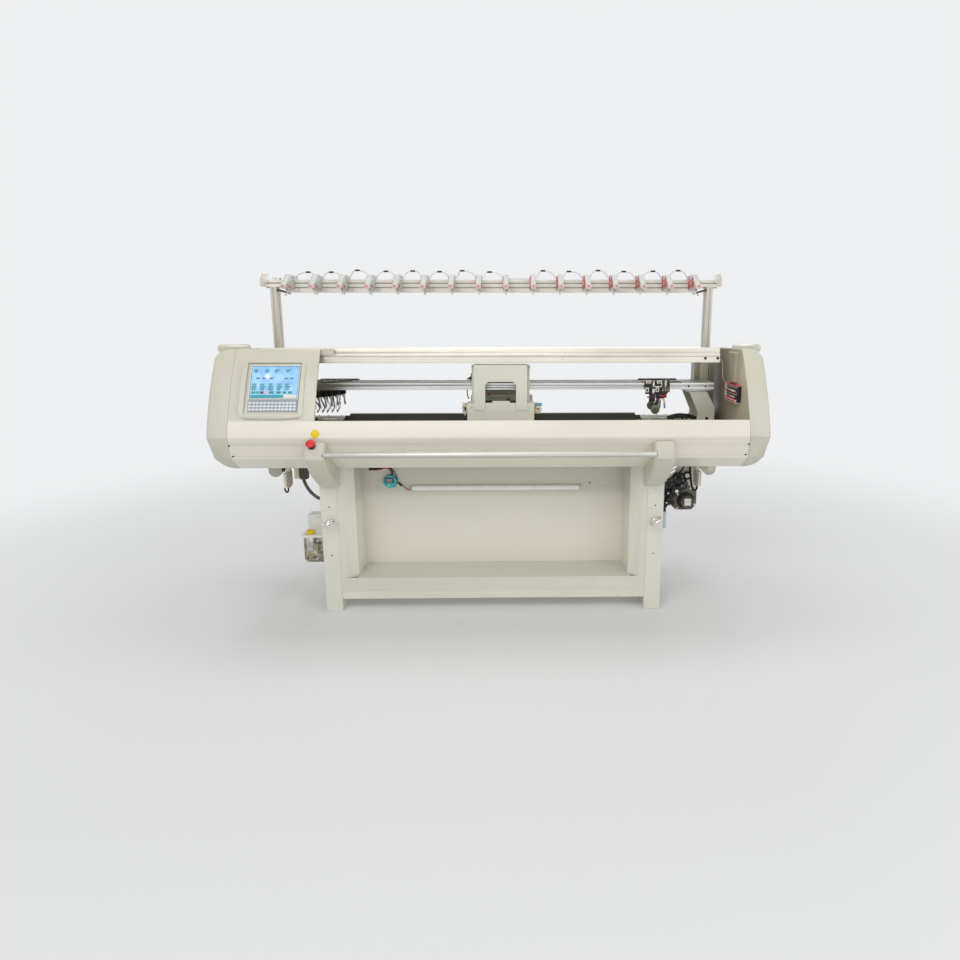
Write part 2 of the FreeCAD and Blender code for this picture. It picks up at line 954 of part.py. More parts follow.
def trimmed_to_caps(name, panel):
    """Cut both ends of a panel along the leaning seam of the end caps."""
    seam = CAP_INNER - S.seam_gap
    spread = seam + S.seam_lean
    corners = [(seam, S.fold_z), (spread, S.base_z), (spread + MARGIN, S.base_z - MARGIN)]
    corners = corners + [(spread + MARGIN, S.panel_top + MARGIN), (seam, S.panel_top + MARGIN)]
    deep = S.fold_out + MARGIN
    wedge = prism(name + "_wedge", "XZ", corners, -deep, deep)
    wedges = group(name + "_wedges", [wedge, mirrored(name + "_wedge_left", wedge)])
    return cut(name, panel, wedges)


def front_panel():
    wall = S.shell_wall
    top = S.panel_top
    outer = [(-face_out(top), top), Bend(S.face_radius), (-S.fold_out, S.fold_z)]
    outer = outer + groove(S.groove_high) + groove(S.groove_low)
    outer = outer + [(-S.knee_out, S.knee_z), (-S.base_out, S.base_z)]
    inner = [
        (-S.ledge_out - S.seam_gap, S.base_z),
        (-S.ledge_out - S.seam_gap, S.base_z + wall),
        (wall - S.base_out, S.base_z + wall),
        (wall - S.knee_out, S.knee_z),
        (wall - S.fold_out, S.fold_z),
        Bend(S.face_radius - wall, clockwise=True),
        (-face_out(top, wall), top),
    ]
    half = CAP_INNER + S.seam_lean
    sheet = prism("front_panel_sheet", "YZ", outer + inner, -half, half)

    def is_fold(edge):
        middle = edge.CenterOfMass
        at_fold = abs(middle.z - number(S.fold_z)) < 1 and abs(middle.y + number(S.fold_out)) < 1
        return at_fold and edge.Length > number(half)

    soften(sheet, S.panel_fold_radius, is_fold)
    return trimmed_to_caps("front_panel", sheet)


def rear_panel():
    wall, top = S.shell_wall, S.rear_panel_top
    outline = [
        (S.ledge_out + S.seam_gap, S.base_z),
        (S.base_out, S.base_z),
        (S.knee_out, S.knee_z),
        (lower_out(top), top),
        (lower_out(top) - wall, top),
        (S.knee_out - wall, S.knee_z),
        (S.base_out - wall, S.base_z + wall),
        (S.ledge_out + S.seam_gap, S.base_z + wall),
    ]
    half = CAP_INNER + S.seam_lean
    sheet = prism("rear_panel_sheet", "YZ", outline, -half, half)
    lip_half = CAP_INNER + S.end_panel_lap - S.end_panel_thick - S.edge_clear
    lip = block(
        "rear_panel_lip",
        (-lip_half, lower_out(top) - S.rear_lip, top - wall),
        (lip_half, lower_out(top) - wall / 2, top),
    )
    inlet = block(
        "mains_inlet",
        (-S.inlet_left, S.knee_out, S.inlet_low),
        (S.inlet_wide - S.inlet_left, S.inlet_rear, S.inlet_low + S.inlet_tall),
    )
    return trimmed_to_caps("rear_panel", joined("rear_panel_whole", [sheet, lip, inlet]))


def cap_plan(inset, inner, slant):
    """Front view of an end cap, with its lower corner rounded and its upper one begun."""
    outer, low, high = S.half_length - inset, S.base_z + inset, S.shell_top - inset
    foot, brow = S.cap_foot_radius - inset, (S.cap_top_radius - inset) / 2
    return [
        (inner + slant, low),
        (outer - foot, low),
        Bend(foot),
        (outer, low + foot),
        (outer, high - brow),
        Bend(brow),
        (outer - brow, high),
        (inner, high),
        (inner, S.fold_z),
    ]


def brow_plan(inset):
    """Front view of the full upper corner, before it is tilted with the cap's top."""
    outer, high = S.half_length - inset, S.shell_top - inset
    inner, low = CAP_INNER - 2 * MARGIN, S.base_z - 4 * MARGIN
    brow = S.cap_top_radius - inset
    return [
        (inner, low),
        (outer, low),
        (outer, high - brow),
        Bend(brow),
        (outer - brow, high),
        (inner, high),
    ]


def cap_solid(name, section, inset, inner, slant):
    """What the section, the front view and the tilted upper corner have in common."""
    deep = S.fold_out + MARGIN
    plan = prism(name + "_plan", "XZ", cap_plan(inset, inner, slant), -deep, deep)
    brow = prism(name + "_brow", "XZ", brow_plan(inset), -deep, deep)
    front = common(name + "_front", section, plan)
    return common(name + "_whole", front, on_crown(name + "_crown", brow))


def end_cap():
    wall = S.shell_wall
    section = prism("cap_section", "YZ", casing_outline(0), CAP_INNER, S.half_length)

    def is_outer_rim(edge):
        ends = [vertex.X for vertex in edge.Vertexes]
        return min(ends) > number(S.half_length) - 1

    soften(section, S.cap_edge, is_outer_rim)
    full = cap_solid("cap_full", section, 0, CAP_INNER, S.seam_lean)
    hollow_far = S.half_length - wall
    hollow_near = CAP_INNER - MARGIN
    hollow_section = prism("cap_hollow", "YZ", casing_outline(wall), hollow_near, hollow_far)
    hollow = cap_solid("cap_room", hollow_section, wall, hollow_near, 0)
    return cut("right_end_cap", full, hollow)


def control_housing():
    wall, low, top = S.shell_wall, S.panel_top, S.shell_top
    shell_outline = [
        (-face_out(low), low),
        (-face_out(low, wall), low),
        Bend(S.face_radius - wall, clockwise=True),
        (wall - S.top_out, top - wall),
        (-S.tongue_out, top - wall),
        (-S.tongue_out, top),
        (-S.top_out, top),
        Bend(S.face_radius),
    ]
    seam = CAP_INNER - S.seam_gap
    shell = prism("housing_shell", "YZ", shell_outline, -seam, -S.housing_inner)
    fold = S.housing_return
    return_outline = [
        (-face_out(low), low),
        (fold - face_out(low), low),
        Bend(S.face_radius, clockwise=True),
        (fold - S.top_out, top),
        (-S.top_out, top),
        Bend(S.face_radius),
    ]
    edge_far = -S.housing_inner
    side = prism("housing_return", "YZ", return_outline, edge_far - wall, edge_far)
    proud, back = S.rim_proud, S.rim_back
    rim_outline = [
        (-face_out(S.rim_low) - proud, S.rim_low),
        (back - face_out(S.rim_low), S.rim_low),
        (back - face_out(S.rim_high), S.rim_high),
        (-face_out(S.rim_high) - proud, S.rim_high),
        Bend(S.face_radius),
    ]
    rim = prism("housing_rim", "YZ", rim_outline, -S.rim_left, -S.rim_right)

    def is_rim_corner(edge):
        middle = edge.CenterOfMass
        ends = [vertex.X for vertex in edge.Vertexes]
        flat_in_x = max(ends) - min(ends) < 1
        at_level = min(abs(middle.z - number(S.rim_low)), abs(middle.z - number(S.rim_high))) < 1
        return flat_in_x and at_level

    soften(rim, S.rim_corner, is_rim_corner)
    tongue = block(
        "housing_tongue",
        (-S.housing_inner - wall, -S.tongue_out - S.tongue_thick, top - S.tongue_tall),
        (-S.tongue_end, -S.tongue_out, top),
    )
    body = joined("housing_body", [shell, side, rim, tongue])
    recess_outline = insert_outline(S.recess_low, S.recess_high, S.recess_deep * MARGIN)
    recess = prism("housing_recess", "YZ", recess_outline, -S.recess_left, -S.recess_right)
    return cut("control_housing", body, recess)


def recess_floor(height):
    """The flat floor of the recess, as its distance out at a height."""
    low, high = S.recess_low, S.recess_high
    share = (height - low) / (high - low)
    low_out = face_out(low) - S.recess_deep
    high_out = face_out(high) - S.recess_deep
    return low_out + share * (high_out - low_out)


def insert_outline(low, high, thick):
    """A slab that lies on the floor of the recess."""
    return [
        (-recess_floor(low) - thick, low),
        (-recess_floor(low), low),
        (-recess_floor(high), high),
        (-recess_floor(high) - thick, high),
    ]


def screen():
    outline = insert_outline(S.screen_low, S.screen_high, S.insert_thick)
    return prism("screen", "YZ", outline, -S.screen_left, -S.screen_right)


def keypad():
    outline = insert_outline(S.keypad_low, S.keypad_high, S.insert_thick)
    return prism("keypad", "YZ", outline, -S.keypad_left, -S.keypad_right)


def inner_end_panels():
    near = CAP_INNER + S.end_panel_lap - S.end_panel_thick
    far = CAP_INNER + S.end_panel_lap
    outline = casing_outline(S.shell_wall + S.edge_clear, S.crown_fall)
    sheet = prism("end_sheet", "YZ", outline, near, far)
    backplate = block(
        "end_backplate",
        (near - S.backplate_thick, -S.backplate_front, S.backplate_low),
        (near, -S.backplate_rear, S.backplate_high),
    )
    return pair("inner_end_panels", joined("right_inner_panel", [sheet, backplate]))


def terminal_blocks():
    far = CAP_INNER + S.end_panel_lap - S.end_panel_thick
    blocks = []
    for row in range(3):
        low = S.terminal_low + row * S.terminal_pitch
        blocks.append(
            block(
                "terminal_block_%d" % row,
                (far - S.terminal_deep, -S.terminal_front, low),
                (far, -S.terminal_rear, low + S.terminal_tall),
            )
        )
    return group("terminal_blocks", blocks)


def top_tubes():
    at = (S.tube_x, S.tube_z)
    straight = rod("tube_round", "Y", at, S.tube_radius, -S.tube_front, S.tube_rear)
    return pair("top_tubes", on_crown("right_top_tube", straight))


# ---------------------------------------------------------------- beams, columns, rails and feed bar
def top_beams():
    groove_top = S.beam_band + S.beam_groove
    front_outline = [
        (-S.beam_front, S.beam_low),
        (-S.beam_rear, S.beam_low),
        (-S.beam_rear, S.beam_high),
        (S.beam_lean - S.beam_front, S.beam_high),
        (S.beam_step - S.beam_front, S.beam_shoulder),
        (-S.beam_front, S.beam_shoulder),
        (-S.beam_front, groove_top),
        (S.beam_groove - S.beam_front, groove_top),
        (S.beam_groove - S.beam_front, S.beam_band),
        (-S.beam_front, S.beam_band),
    ]
    front = prism("front_beam", "YZ", front_outline, -S.beam_half, S.beam_half)
    deep = S.beam_front - S.beam_rear
    rear = block(
        "rear_beam",
        (-S.beam_half, S.column_rear, S.rear_beam_low),
        (S.beam_half, S.column_rear + deep, S.rear_beam_high),
    )
    return group("top_beams", [front, rear])


def side_columns():
    column = block(
        "column_post",
        (S.column_inner, S.column_front, S.ledge_z),
        (S.column_outer, S.column_rear, S.column_top),
    )
    arm = block(
        "column_arm",
        (S.column_inner, -S.beam_rear, S.arm_low),
        (S.column_inner + S.arm_wide, S.column_front, S.column_top),
    )
    plate = block(
        "column_plate",
        (S.column_plate_inner, S.column_front - S.column_plate_thick, S.column_plate_low),
        (S.column_plate_outer, S.column_front, S.arm_low),
    )
    return pair("side_columns", joined("right_column", [column, arm, plate]))


def feed_posts():
    near, far = S.post_inner, S.post_inner + S.post_wide
    front, rear = S.column_rear, S.column_rear + S.post_deep
    deep, half = S.slot_deep, S.slot_wide / 2
    middle_x, middle_y = (near + far) / 2, (front + rear) / 2
    outline = [
        (near, front),
        (middle_x - half, front),
        (middle_x - half, front + deep),
        (middle_x + half, front + deep),
        (middle_x + half, front),
        (far, front),
        (far, rear),
        (near, rear),
        (near, middle_y + half),
        (near + deep, middle_y + half),
        (near + deep, middle_y - half),
        (near, middle_y - half),
    ]
    return pair("feed_posts", prism("right_feed_post", "XY", outline, S.post_low, S.bar_waist))


def feed_bar():
    """A grooved bar whose lower strip ends short of the posts that carry the upper part."""
    front, rear, deep = S.bar_front, S.bar_rear, S.bar_groove
    outline = [(front, S.bar_bottom), (rear, S.bar_bottom), (rear, S.bar_top), (front, S.bar_top)]
    for level in ((S.bar_top + S.bar_waist) / 2, S.bar_waist - deep):
        outline = outline + [
            (front, level + deep),
            (front + deep, level + deep),
            (front + deep, level - deep),
            (front, level - deep),
        ]
    whole = prism("feed_bar_profile", "YZ", outline, -S.bar_half, S.bar_half)
    strip_end = block(
        "strip_end",
        (S.bar_strip_half, front - MARGIN, S.bar_bottom - MARGIN),
        (S.bar_half + MARGIN, rear + MARGIN, S.bar_waist),
    )
    bar = cut("feed_bar_stepped", whole, pair("strip_ends", strip_end))
    corner = S.bar_end_corner
    plate_outline = [
        (S.bar_end_front, S.bar_end_low),
        (S.bar_end_rear, S.bar_end_low),
        (S.bar_end_rear, S.bar_end_high),
        (S.bar_end_front + corner, S.bar_end_high),
        (S.bar_end_front, S.bar_end_high - corner),
    ]
    far = S.bar_half + S.bar_end_thick
    plate = prism("bar_end_plate", "YZ", plate_outline, S.bar_half, far)
    return joined("feed_bar", [bar, plate, mirrored("bar_end_plate_left", plate)])


def yarn_rails():
    half_thick = S.rail_thick / 2
    front = (1 - S.rail_count) / 2 * S.rail_pitch
    third = (S.rail_high - S.rail_low) / 3
    deep = S.rail_groove
    one_side = [
        (half_thick, S.rail_low),
        (half_thick, S.rail_low + third),
        (half_thick - deep, S.rail_low + third + deep),
        (half_thick - deep, S.rail_high - third - deep),
        (half_thick, S.rail_high - third),
        (half_thick, S.rail_high),
    ]
    other_side = [(-out, height) for out, height in reversed(one_side)]
    outline = [(front + out, height) for out, height in one_side + other_side]
    body = prism("yarn_rails", "YZ", outline, -S.rail_half, S.rail_half)
    return pattern(body, "Y", S.rail_pitch, S.rail_count)


def rail_brackets():
    outline = [
        (S.bracket_waist_inner, S.ledge_z),
        (S.bracket_elbow_outer, S.ledge_z),
        (S.bracket_elbow_outer, S.bracket_elbow_z),
        (S.bracket_top_outer, S.rail_low),
        (S.bracket_top_inner, S.rail_low),
        (S.bracket_waist_inner, S.bracket_waist_z),
        (S.bracket_throat_inner, S.bracket_throat_z),
        (S.bracket_waist_inner, S.bracket_foot_z),
    ]
    deep, web = S.bracket_deep, S.bracket_web
    casting = prism("rail_bracket_casting", "XZ", outline, -deep, deep)
    room = block(
        "rail_bracket_room",
        (S.bracket_top_inner - MARGIN, web - deep, S.ledge_z + S.bracket_bridge),
        (S.bracket_elbow_outer + MARGIN, deep - web, S.rail_low - S.bracket_bridge),
    )
    return pair("rail_brackets", cut("right_rail_bracket", casting, room))


def unit_x(place):
    """The middle of a tension unit, counted from the left."""
    return (place - (S.unit_count - 1) / 2) * UNIT_PITCH


def tension_housings():
    outline = [
        (S.unit_front, S.unit_chin),
        (S.bar_front, S.unit_chin),
        (S.bar_front, S.bar_top),
        (S.unit_tail, S.bar_top),
        (S.unit_tail, S.unit_heel),
        (S.unit_nape, S.unit_top),
        (S.unit_crown, S.unit_top),
        (S.unit_front, S.unit_brow),
    ]
    first, half = unit_x(0), S.unit_wide / 2
    body = prism("tension_housings", "YZ", outline, first - half, first + half)
    prongs = []
    for start in (S.prong_first, S.prong_second):
        low, high = S.prong_low, S.unit_chin
        stop = start + S.prong_deep
        prongs.append([(start, low), (stop, low), (stop, high), (start, high)])
    prong_half = S.prong_wide / 2
    add_pad(body, "prongs", "YZ", prongs, first - prong_half, first + prong_half)
    return pattern(body, "X", UNIT_PITCH, S.unit_count)


def tension_levers():
    """The tension disc at the front of each unit and the forked lever on its left face."""
    first = unit_x(0)
    discs = DOCUMENT.addObject("PartDesign::Body", "tension_discs")
    circle = ((first, S.disc_z), S.disc_radius)
    add_pad(discs, "disc", "XZ", [], S.unit_front - S.disc_thick, S.unit_front, [circle])
    pattern(discs, "X", UNIT_PITCH, S.unit_count)
    wide = 2 * S.lever_thick
    hub = (S.unit_front + S.unit_crown) / 2
    foot, waist, head = S.unit_chin + wide, S.unit_brow - 2 * wide, S.unit_brow + 2 * wide
    fork = [
        (hub - wide, foot),
        (hub + wide, foot),
        (hub + wide, waist),
        (hub + 5 * wide, head),
        (hub + 3 * wide, head + wide),
        (hub, waist + wide),
        (hub - 2 * wide, head - wide),
        (hub - 4 * wide, head - 2 * wide),
        (hub - wide, waist - wide),
    ]
    face = first - S.unit_wide / 2
    forks = prism("tension_forks", "YZ", fork, face - S.lever_thick, face)
    pattern(forks, "X", UNIT_PITCH, S.unit_count)
    return group("tension_levers", [discs, forks])


# Each lead leaves one unit, rises by its own share of lead_rise and comes down to the next;
# the pairs give that share and where the top of the arc leans, and a flat lead lies on the bar.
LEAD_SHAPES = [
    (0.85, 0.62), (0.85, 0.45), (1.15, 0.42), (1.0, 0.5), (1.05, 0.5),
    (0.95, 0.5), (1.1, 0.32), (0.9, 0.35), (0.0, 0.5), (1.1, 0.36),
    (1.0, 0.34), (1.15, 0.46), (1.0, 0.42), (1.05, 0.55), (1.15, 0.5),
]


def lead_points(start, end, share, lean):
    """Corners of an arc between two tension units, straight out of each side."""
    foot = number(S.lead_foot)
    rise = share * number(S.lead_rise)
    stub = number(S.lead_stub)
    across = number(S.lead_y)
    length = end - start
    crest = start + lean * length
    corners = [
        (start, foot),
        (start + stub, foot),
        (start + 0.17 * length, foot + 0.65 * rise),
        (crest - 0.14 * length, foot + 0.98 * rise),
        (crest + 0.14 * length, foot + rise),
        (end - 0.17 * length, foot + 0.65 * rise),
        (end - stub, foot),
        (end, foot),
    ]
    return [FreeCAD.Vector(along, across, height) for along, height in corners]


def jumper_leads():
    half = number(S.unit_wide) / 2 + number(S.lead_gap)
    pieces = []
    for place_left, (share, lean) in enumerate(LEAD_SHAPES):
        start = number(unit_x(place_left)) + half
        end = number(unit_x(place_left + 1)) - half
        radius, sleeve = number(S.lead_radius), number(S.sleeve_radius)
        middle = start + lean * (end - start)
        if share:
            points = lead_points(start, end, share, lean)
            lead = tube(points, radius)
            height = number(S.lead_foot) + 0.99 * share * number(S.lead_rise)
        else:
            height = number(S.bar_top) + sleeve
            run = FreeCAD.Vector(end - start, 0, 0)
            at = FreeCAD.Vector(start, number(S.lead_y), height)
            lead = Part.makeCylinder(radius, run.Length, at, run)
        long = number(S.sleeve_long)
        at = FreeCAD.Vector(middle - long / 2, number(S.lead_y), height)
        cover = Part.makeCylinder(sleeve, long, at, FreeCAD.Vector(1, 0, 0))
        pieces.append(lead.fuse(cover))
    return feature("jumper_leads", Part.makeCompound(pieces))


# ---------------------------------------------------------------- operating bar and stop button
def bar_brackets():
    clear = S.edge_clear
    outline = [
        (-S.base_out + clear, S.base_z - clear),
        (-S.knee_out - clear, S.knee_z - clear),
        (-lower_out(S.hook_top_z) - clear, S.hook_top_z),
        (-S.hook_top_out, S.hook_top_z),
        (-S.hook_brow_out, S.hook_brow_z),
        (-S.hook_nose_out, S.hook_nose_z),
        Bend(S.hook_curve),
        (-S.hook_foot_out, S.hook_foot_z),
        (-S.stand_out, S.hook_foot_z),
        (-S.stand_out, S.base_z - clear),
    ]
    hook = prism("hook_block", "YZ", outline, HOOK_INNER, S.hook_outer)

    def is_outer_edge(edge):
        middle = edge.CenterOfMass
        ends = [vertex.X for vertex in edge.Vertexes]
        along_side = max(ends) - min(ends) < 1
        over_panel = -middle.y > number(lower_out(middle.z)) + 1
        return along_side and over_panel and -middle.y > number(S.hook_foot_out)

    soften(hook, S.hook_edge, is_outer_edge, "Chamfer")
    bore = rod(
        "hook_bore",
        "X",
        (-S.grip_y, S.grip_z),
        S.journal_radius + S.running_fit,
        HOOK_INNER,
        HOOK_INNER + S.journal_long + S.edge_clear,
    )
    right = cut("right_bar_bracket", hook, bore)
    left = mirrored("left_bar_hook", right)
    hole, deep = S.button_stem + S.slide_gap, S.button_bore_deep
    well = turned("button_well", [(0, -deep), (hole, -deep), (hole, deep), (0, deep)])
    place(well, button_point(0), button_turn())
    return group("bar_brackets", [right, cut("left_bar_bracket", left, well)])


def operating_bar():
    long = HOOK_INNER - S.edge_clear
    end = HOOK_INNER + S.journal_long
    grip = rod("grip_tube", "X", (-S.grip_y, S.grip_z), S.grip_radius, -long, long)
    journal = rod("grip_journal", "X", (-S.grip_y, S.grip_z), S.journal_radius, -end, end)
    return joined("operating_bar", [grip, journal])


def button_face():
    """Run and drop of the bracket's sloping face that the stop button stands on."""
    return S.hook_brow_out - S.hook_top_out, S.hook_top_z - S.hook_brow_z


def button_turn():
    run, drop = button_face()
    angle = math.degrees(math.atan2(number(drop), number(run)))
    return FreeCAD.Rotation(FreeCAD.Vector(1, 0, 0), angle)


def button_point(along):
    """A point on the stop button's axis, measured from the middle of the sloping face."""
    run, drop = button_face()
    slant = root(run * run + drop * drop)
    out = (S.hook_top_out + S.hook_brow_out) / 2 + along * drop / slant
    return (-S.button_x, -out, (S.hook_top_z + S.hook_brow_z) / 2 + along * run / slant)


def stop_button_base():
    ring = [
        (S.button_stem + S.slide_gap, 0),
        (S.button_seat_radius, 0),
        (S.button_seat_radius, S.button_seat_tall),
        (S.button_stem + S.slide_gap, S.button_seat_tall),
    ]
    return place(turned("stop_button_base", ring), button_point(S.slide_gap), button_turn())


def stop_button():
    start = S.button_seat_tall + S.button_travel + S.slide_gap
    crown = start + S.button_head
    edge = S.button_head / 3
    profile = [
        (0, -S.button_stem / 2),
        (S.button_stem, -S.button_stem / 2),
        (S.button_stem, start),
        (S.button_radius - edge, start),
        (S.button_radius, start + edge),
        (S.button_radius, crown - edge),
        Bend(edge),
        (S.button_radius - edge, crown),
        (0, crown),
    ]
    return place(turned("stop_button", profile), button_point(S.slide_gap), button_turn())


# ---------------------------------------------------------------- take-down
def takedown_roller():
    axis = (0, S.roller_z)
    core = rod("roller_core", "X", axis, S.roller_radius, -ROLLER_HALF, ROLLER_HALF)
    end = CASTING_END + S.roller_journal / 2
    journal = rod("roller_journal", "X", axis, S.roller_journal, -end, end)
    return joined("takedown_roller", [core, journal])


def takedown_frame():
    """Light gearbox plate hung from the casting, with the dark drive plate in front of it."""
    rear = -S.gearbox_y + S.gearbox_plate
    plate = block(
        "gearbox_plate",
        (S.gearbox_left, -S.gearbox_y, S.gearbox_low),
        (S.gearbox_right, rear, S.base_z),
    )
    front = -S.gearbox_y - S.drive_plate_gap - S.gearbox_plate
    corner, left, right = S.drive_plate_cut, S.drive_plate_left, S.gearbox_right
    low, high = S.drive_plate_low, S.drive_plate_high
    outline = [
        (left + corner, low),
        (right - corner / 2, low),
        (right, low + corner / 2),
        (right, high - corner),
        (right - corner, high),
        (left, high),
        (left, low + corner),
    ]
    drive = prism("drive_plate", "XZ", outline, front, front + S.gearbox_plate)
    spacers = []
    for spacer_x, spacer_z in ((left + corner, high - corner / 2), (right - corner, high - corner)):
        name = "spacer_%d" % len(spacers)
        radius = S.gearbox_plate / 2
        spacers.append(
            rod(name, "Y", (spacer_x, spacer_z), radius, front + S.gearbox_plate, -S.gearbox_y)
        )
    axle = rod(
        "takedown_axle",
        "Y",
        (S.takedown_pulley_x, S.takedown_pulley_z),
        S.takedown_shaft,
        front - S.takedown_pulley_wide - S.slide_gap,
        front,
    )
    return joined("takedown_frame", [plate, drive, axle] + spacers)


def takedown_motor():
    front = -S.gearbox_y - S.drive_plate_gap - S.gearbox_plate
    centre = (S.takedown_motor_x, S.takedown_motor_z)
    radius, long = S.takedown_motor_radius, S.takedown_motor_long
    can = rod("takedown_can", "Y", centre, radius, front - long, front)
    half = radius / 2
    face = block(
        "takedown_face",
        (S.takedown_motor_x - half, front - long - half / 2, S.takedown_motor_z - half),
        (S.takedown_motor_x + half, front - long, S.takedown_motor_z + half),
    )
    return joined("takedown_motor", [can, face])


def takedown_pulley():
    front = -S.gearbox_y - S.drive_plate_gap - S.gearbox_plate
    bore = S.takedown_shaft + S.running_fit
    radius, wide = S.takedown_pulley_radius, S.takedown_pulley_wide
    lip = wide / 8
    profile = [
        (bore, 0),
        (radius, 0),
        (radius, lip),
        (radius - lip, lip),
        (radius - lip, wide - lip),
        (radius, wide - lip),
        (radius, wide),
        (bore, wide),
    ]
    at = (S.takedown_pulley_x, front - wide - S.slide_gap, S.takedown_pulley_z)
    return place(turned("takedown_pulley", profile), at, TURNS["Y"])


# ---------------------------------------------------------------- lubricator
def lubricator_box():
    corner = S.lube_cut
    outline = [
        (-S.lube_left, S.lube_low),
        (-S.lube_right, S.lube_low),
        (-S.lube_right, S.lube_high),
        (corner - S.lube_left, S.lube_high),
        (-S.lube_left, S.lube_high - corner),
    ]
    box = prism("lube_box", "XZ", outline, -S.lube_front, S.lube_rear)
    tray = block(
        "lube_tray",
        (-S.tray_left, -S.tray_front, S.lube_low - S.tray_tall),
        (-S.lube_right, S.lube_rear, S.lube_low),
    )
    plate = block(
        "lube_plate",
        (-S.lube_right, -S.lube_plate_half, S.lube_low - S.tray_tall),
        (-S.leg_outer, S.lube_plate_half, S.lube_high),
    )
    centre = (-S.filler_x, -S.filler_y)
    hole = S.filler_stem + S.slide_gap
    bore = rod("filler_bore", "Z", centre, hole, S.lube_low - S.tray_tall, S.lube_low)
    return cut("lubricator_box", joined("lube_body", [box, tray, plate]), bore)


def lubricator_tank():
    high = S.lube_low - S.tray_tall
    corner = S.tank_cut
    outline = [
        (corner - S.tank_left, S.tank_low),
        (-S.lube_right, S.tank_low),
        (-S.lube_right, high),
        (-S.tank_left, high),
        (-S.tank_left, S.tank_low + corner),
    ]
    return prism("lubricator_tank", "XZ", outline, -S.tank_front, S.lube_rear)


def lubricator_cap():
    seat = S.slide_gap
    profile = [
        (0, -S.tray_tall / 2),
        (S.filler_stem, -S.tray_tall / 2),
        (S.filler_stem, seat),
        (S.filler_radius, seat),
        (S.filler_radius, S.filler_tall - S.filler_edge),
        (S.filler_radius - S.filler_edge, S.filler_tall),
        (0, S.filler_tall),
    ]
    at = (-S.filler_x, -S.filler_y, S.lube_low)
    return place(turned("lubricator_cap", profile), at)


# ---------------------------------------------------------------- lamp, eyes, power gear and cables
def lamp_tube():
    back = S.bin_back - 2 * S.bin_wall
    front = back - S.lamp_deep
    outline = [
        (back, S.lamp_low),
        (back, S.lamp_high),
        (front, S.lamp_high),
        Bend(S.lamp_round),
        (front, S.lamp_low),
    ]
    start, end = S.lamp_centre - S.lamp_half, S.lamp_centre + S.lamp_half
    return prism("lamp_tube", "YZ", outline, start, end)


def lamp_adapter():
    back = S.bin_back - 2 * S.bin_wall
    centre = (-S.adapter_x, S.adapter_z)
    return rod("lamp_adapter", "Y", centre, S.adapter_radius, back - S.adapter_deep, back)


def eye_bolts():
    pieces = []
    for side, tilt in ((-1, S.eye_tilt_left), (1, S.eye_tilt_right)):
        ring = DOCUMENT.addObject("Part::Torus", "eye_ring_%d" % (side + 1))
        ring.setExpression("Radius1", text(S.eye_ring))
        ring.setExpression("Radius2", text(S.eye_wire))
        centre_y = -S.stand_out - S.eye_shank - S.eye_ring
        turn = FreeCAD.Rotation(FreeCAD.Vector(0, 1, 0), number(tilt))
        place(ring, (side * S.eye_x, centre_y, S.eye_z), turn)
        shank = rod(
            "eye_shank_%d" % (side + 1),
            "Y",
            (side * S.eye_x, S.eye_z),
            S.eye_wire,
            -S.stand_out - S.eye_shank,
            -S.stand_out,
        )
        pieces.append(joined("eye_bolt_%d" % (side + 1), [ring, shank]))
    return group("eye_bolts", pieces)


def power_unit(name, inner, outer, ribs):
    """A box ribbed on its inner side, with the hanger that joins it to the casting."""
    front, rear = -S.unit_power_front, S.unit_power_deep - S.unit_power_front
    step = S.unit_power_deep / (2 * S.fin_count - 1)
    count = int(number(S.fin_count))
    outline = [(outer, rear), (outer, front)]
    for fin in range(count):
        start = front + 2 * fin * step
        outline = outline + [(inner, start), (inner, start + step)]
        if fin + 1 < count:
            outline = outline + [(ribs, start + step), (ribs, start + 2 * step)]
    high = S.unit_power_low + S.unit_power_tall
    unit = prism(name + "_fins", "XY", outline, S.unit_power_low, high)
    middle = (inner + outer) / 2
    half = S.hanger_wide / 2
    hanger = block(
        name + "_hanger",
        (middle - half, rear - 2 * S.hanger_wide, high),
        (middle + half, rear, S.base_z),
    )
    return joined(name, [unit, hanger])


def power_units():
    wide, deep = S.unit_power_wide, S.fin_deep
    inner = -S.unit_power_left
    left = power_unit("left_power_unit", inner, inner - wide, inner - deep)
    inner = S.unit_power_right
    right = power_unit("right_power_unit", inner, inner + wide, inner + deep)
    return group("power_units", [left, right])


# Routes of the cables under the ends and of the oil hose: the side of the machine, a radius,
# and corner points as distance outside the leg, y and z.
LOOM_ROUTES = {
    "oil_hose": (-1, 8, [(120, -60, 705.7), (120, -60, 672), (111, -70, 622), (87, -84, 574),
                         (51, -96, 540), (23, -100, 528), (0.3, -100, 528)]),
    "left_cable": (-1, 4, [(175, -60, 705.7), (175, -60, 665), (183, -80, 620),
                           (189, -104, 580), (181, -114.5, 568), (168, -129.5, 568),
                           (159, -140, 583), (159, -140, 600.7)]),
    "right_cable": (1, 5, [(146, -74, 705.7), (146, -74, 668), (148, -88, 626),
                           (150, -104, 590), (153, -114, 574), (160, -130, 568),
                           (168, -140, 580), (168, -140, 600.7)]),
    "plate_cable": (1, 4, [(110, -110, 705.7), (110, -110, 686), (101, -104, 660),
                           (77, -96, 634), (54, -92, 617), (41, -80, 606), (41, -60.3, 606)]),
}


def cable_looms():
    shapes = []
    leg = number(S.leg_outer)
    for side, radius, corners in LOOM_ROUTES.values():
        points = [FreeCAD.Vector(side * (leg + out), y, z) for out, y, z in corners]
        shapes.append(tube(points, radius))
    return feature("cable_looms", Part.makeCompound(shapes))


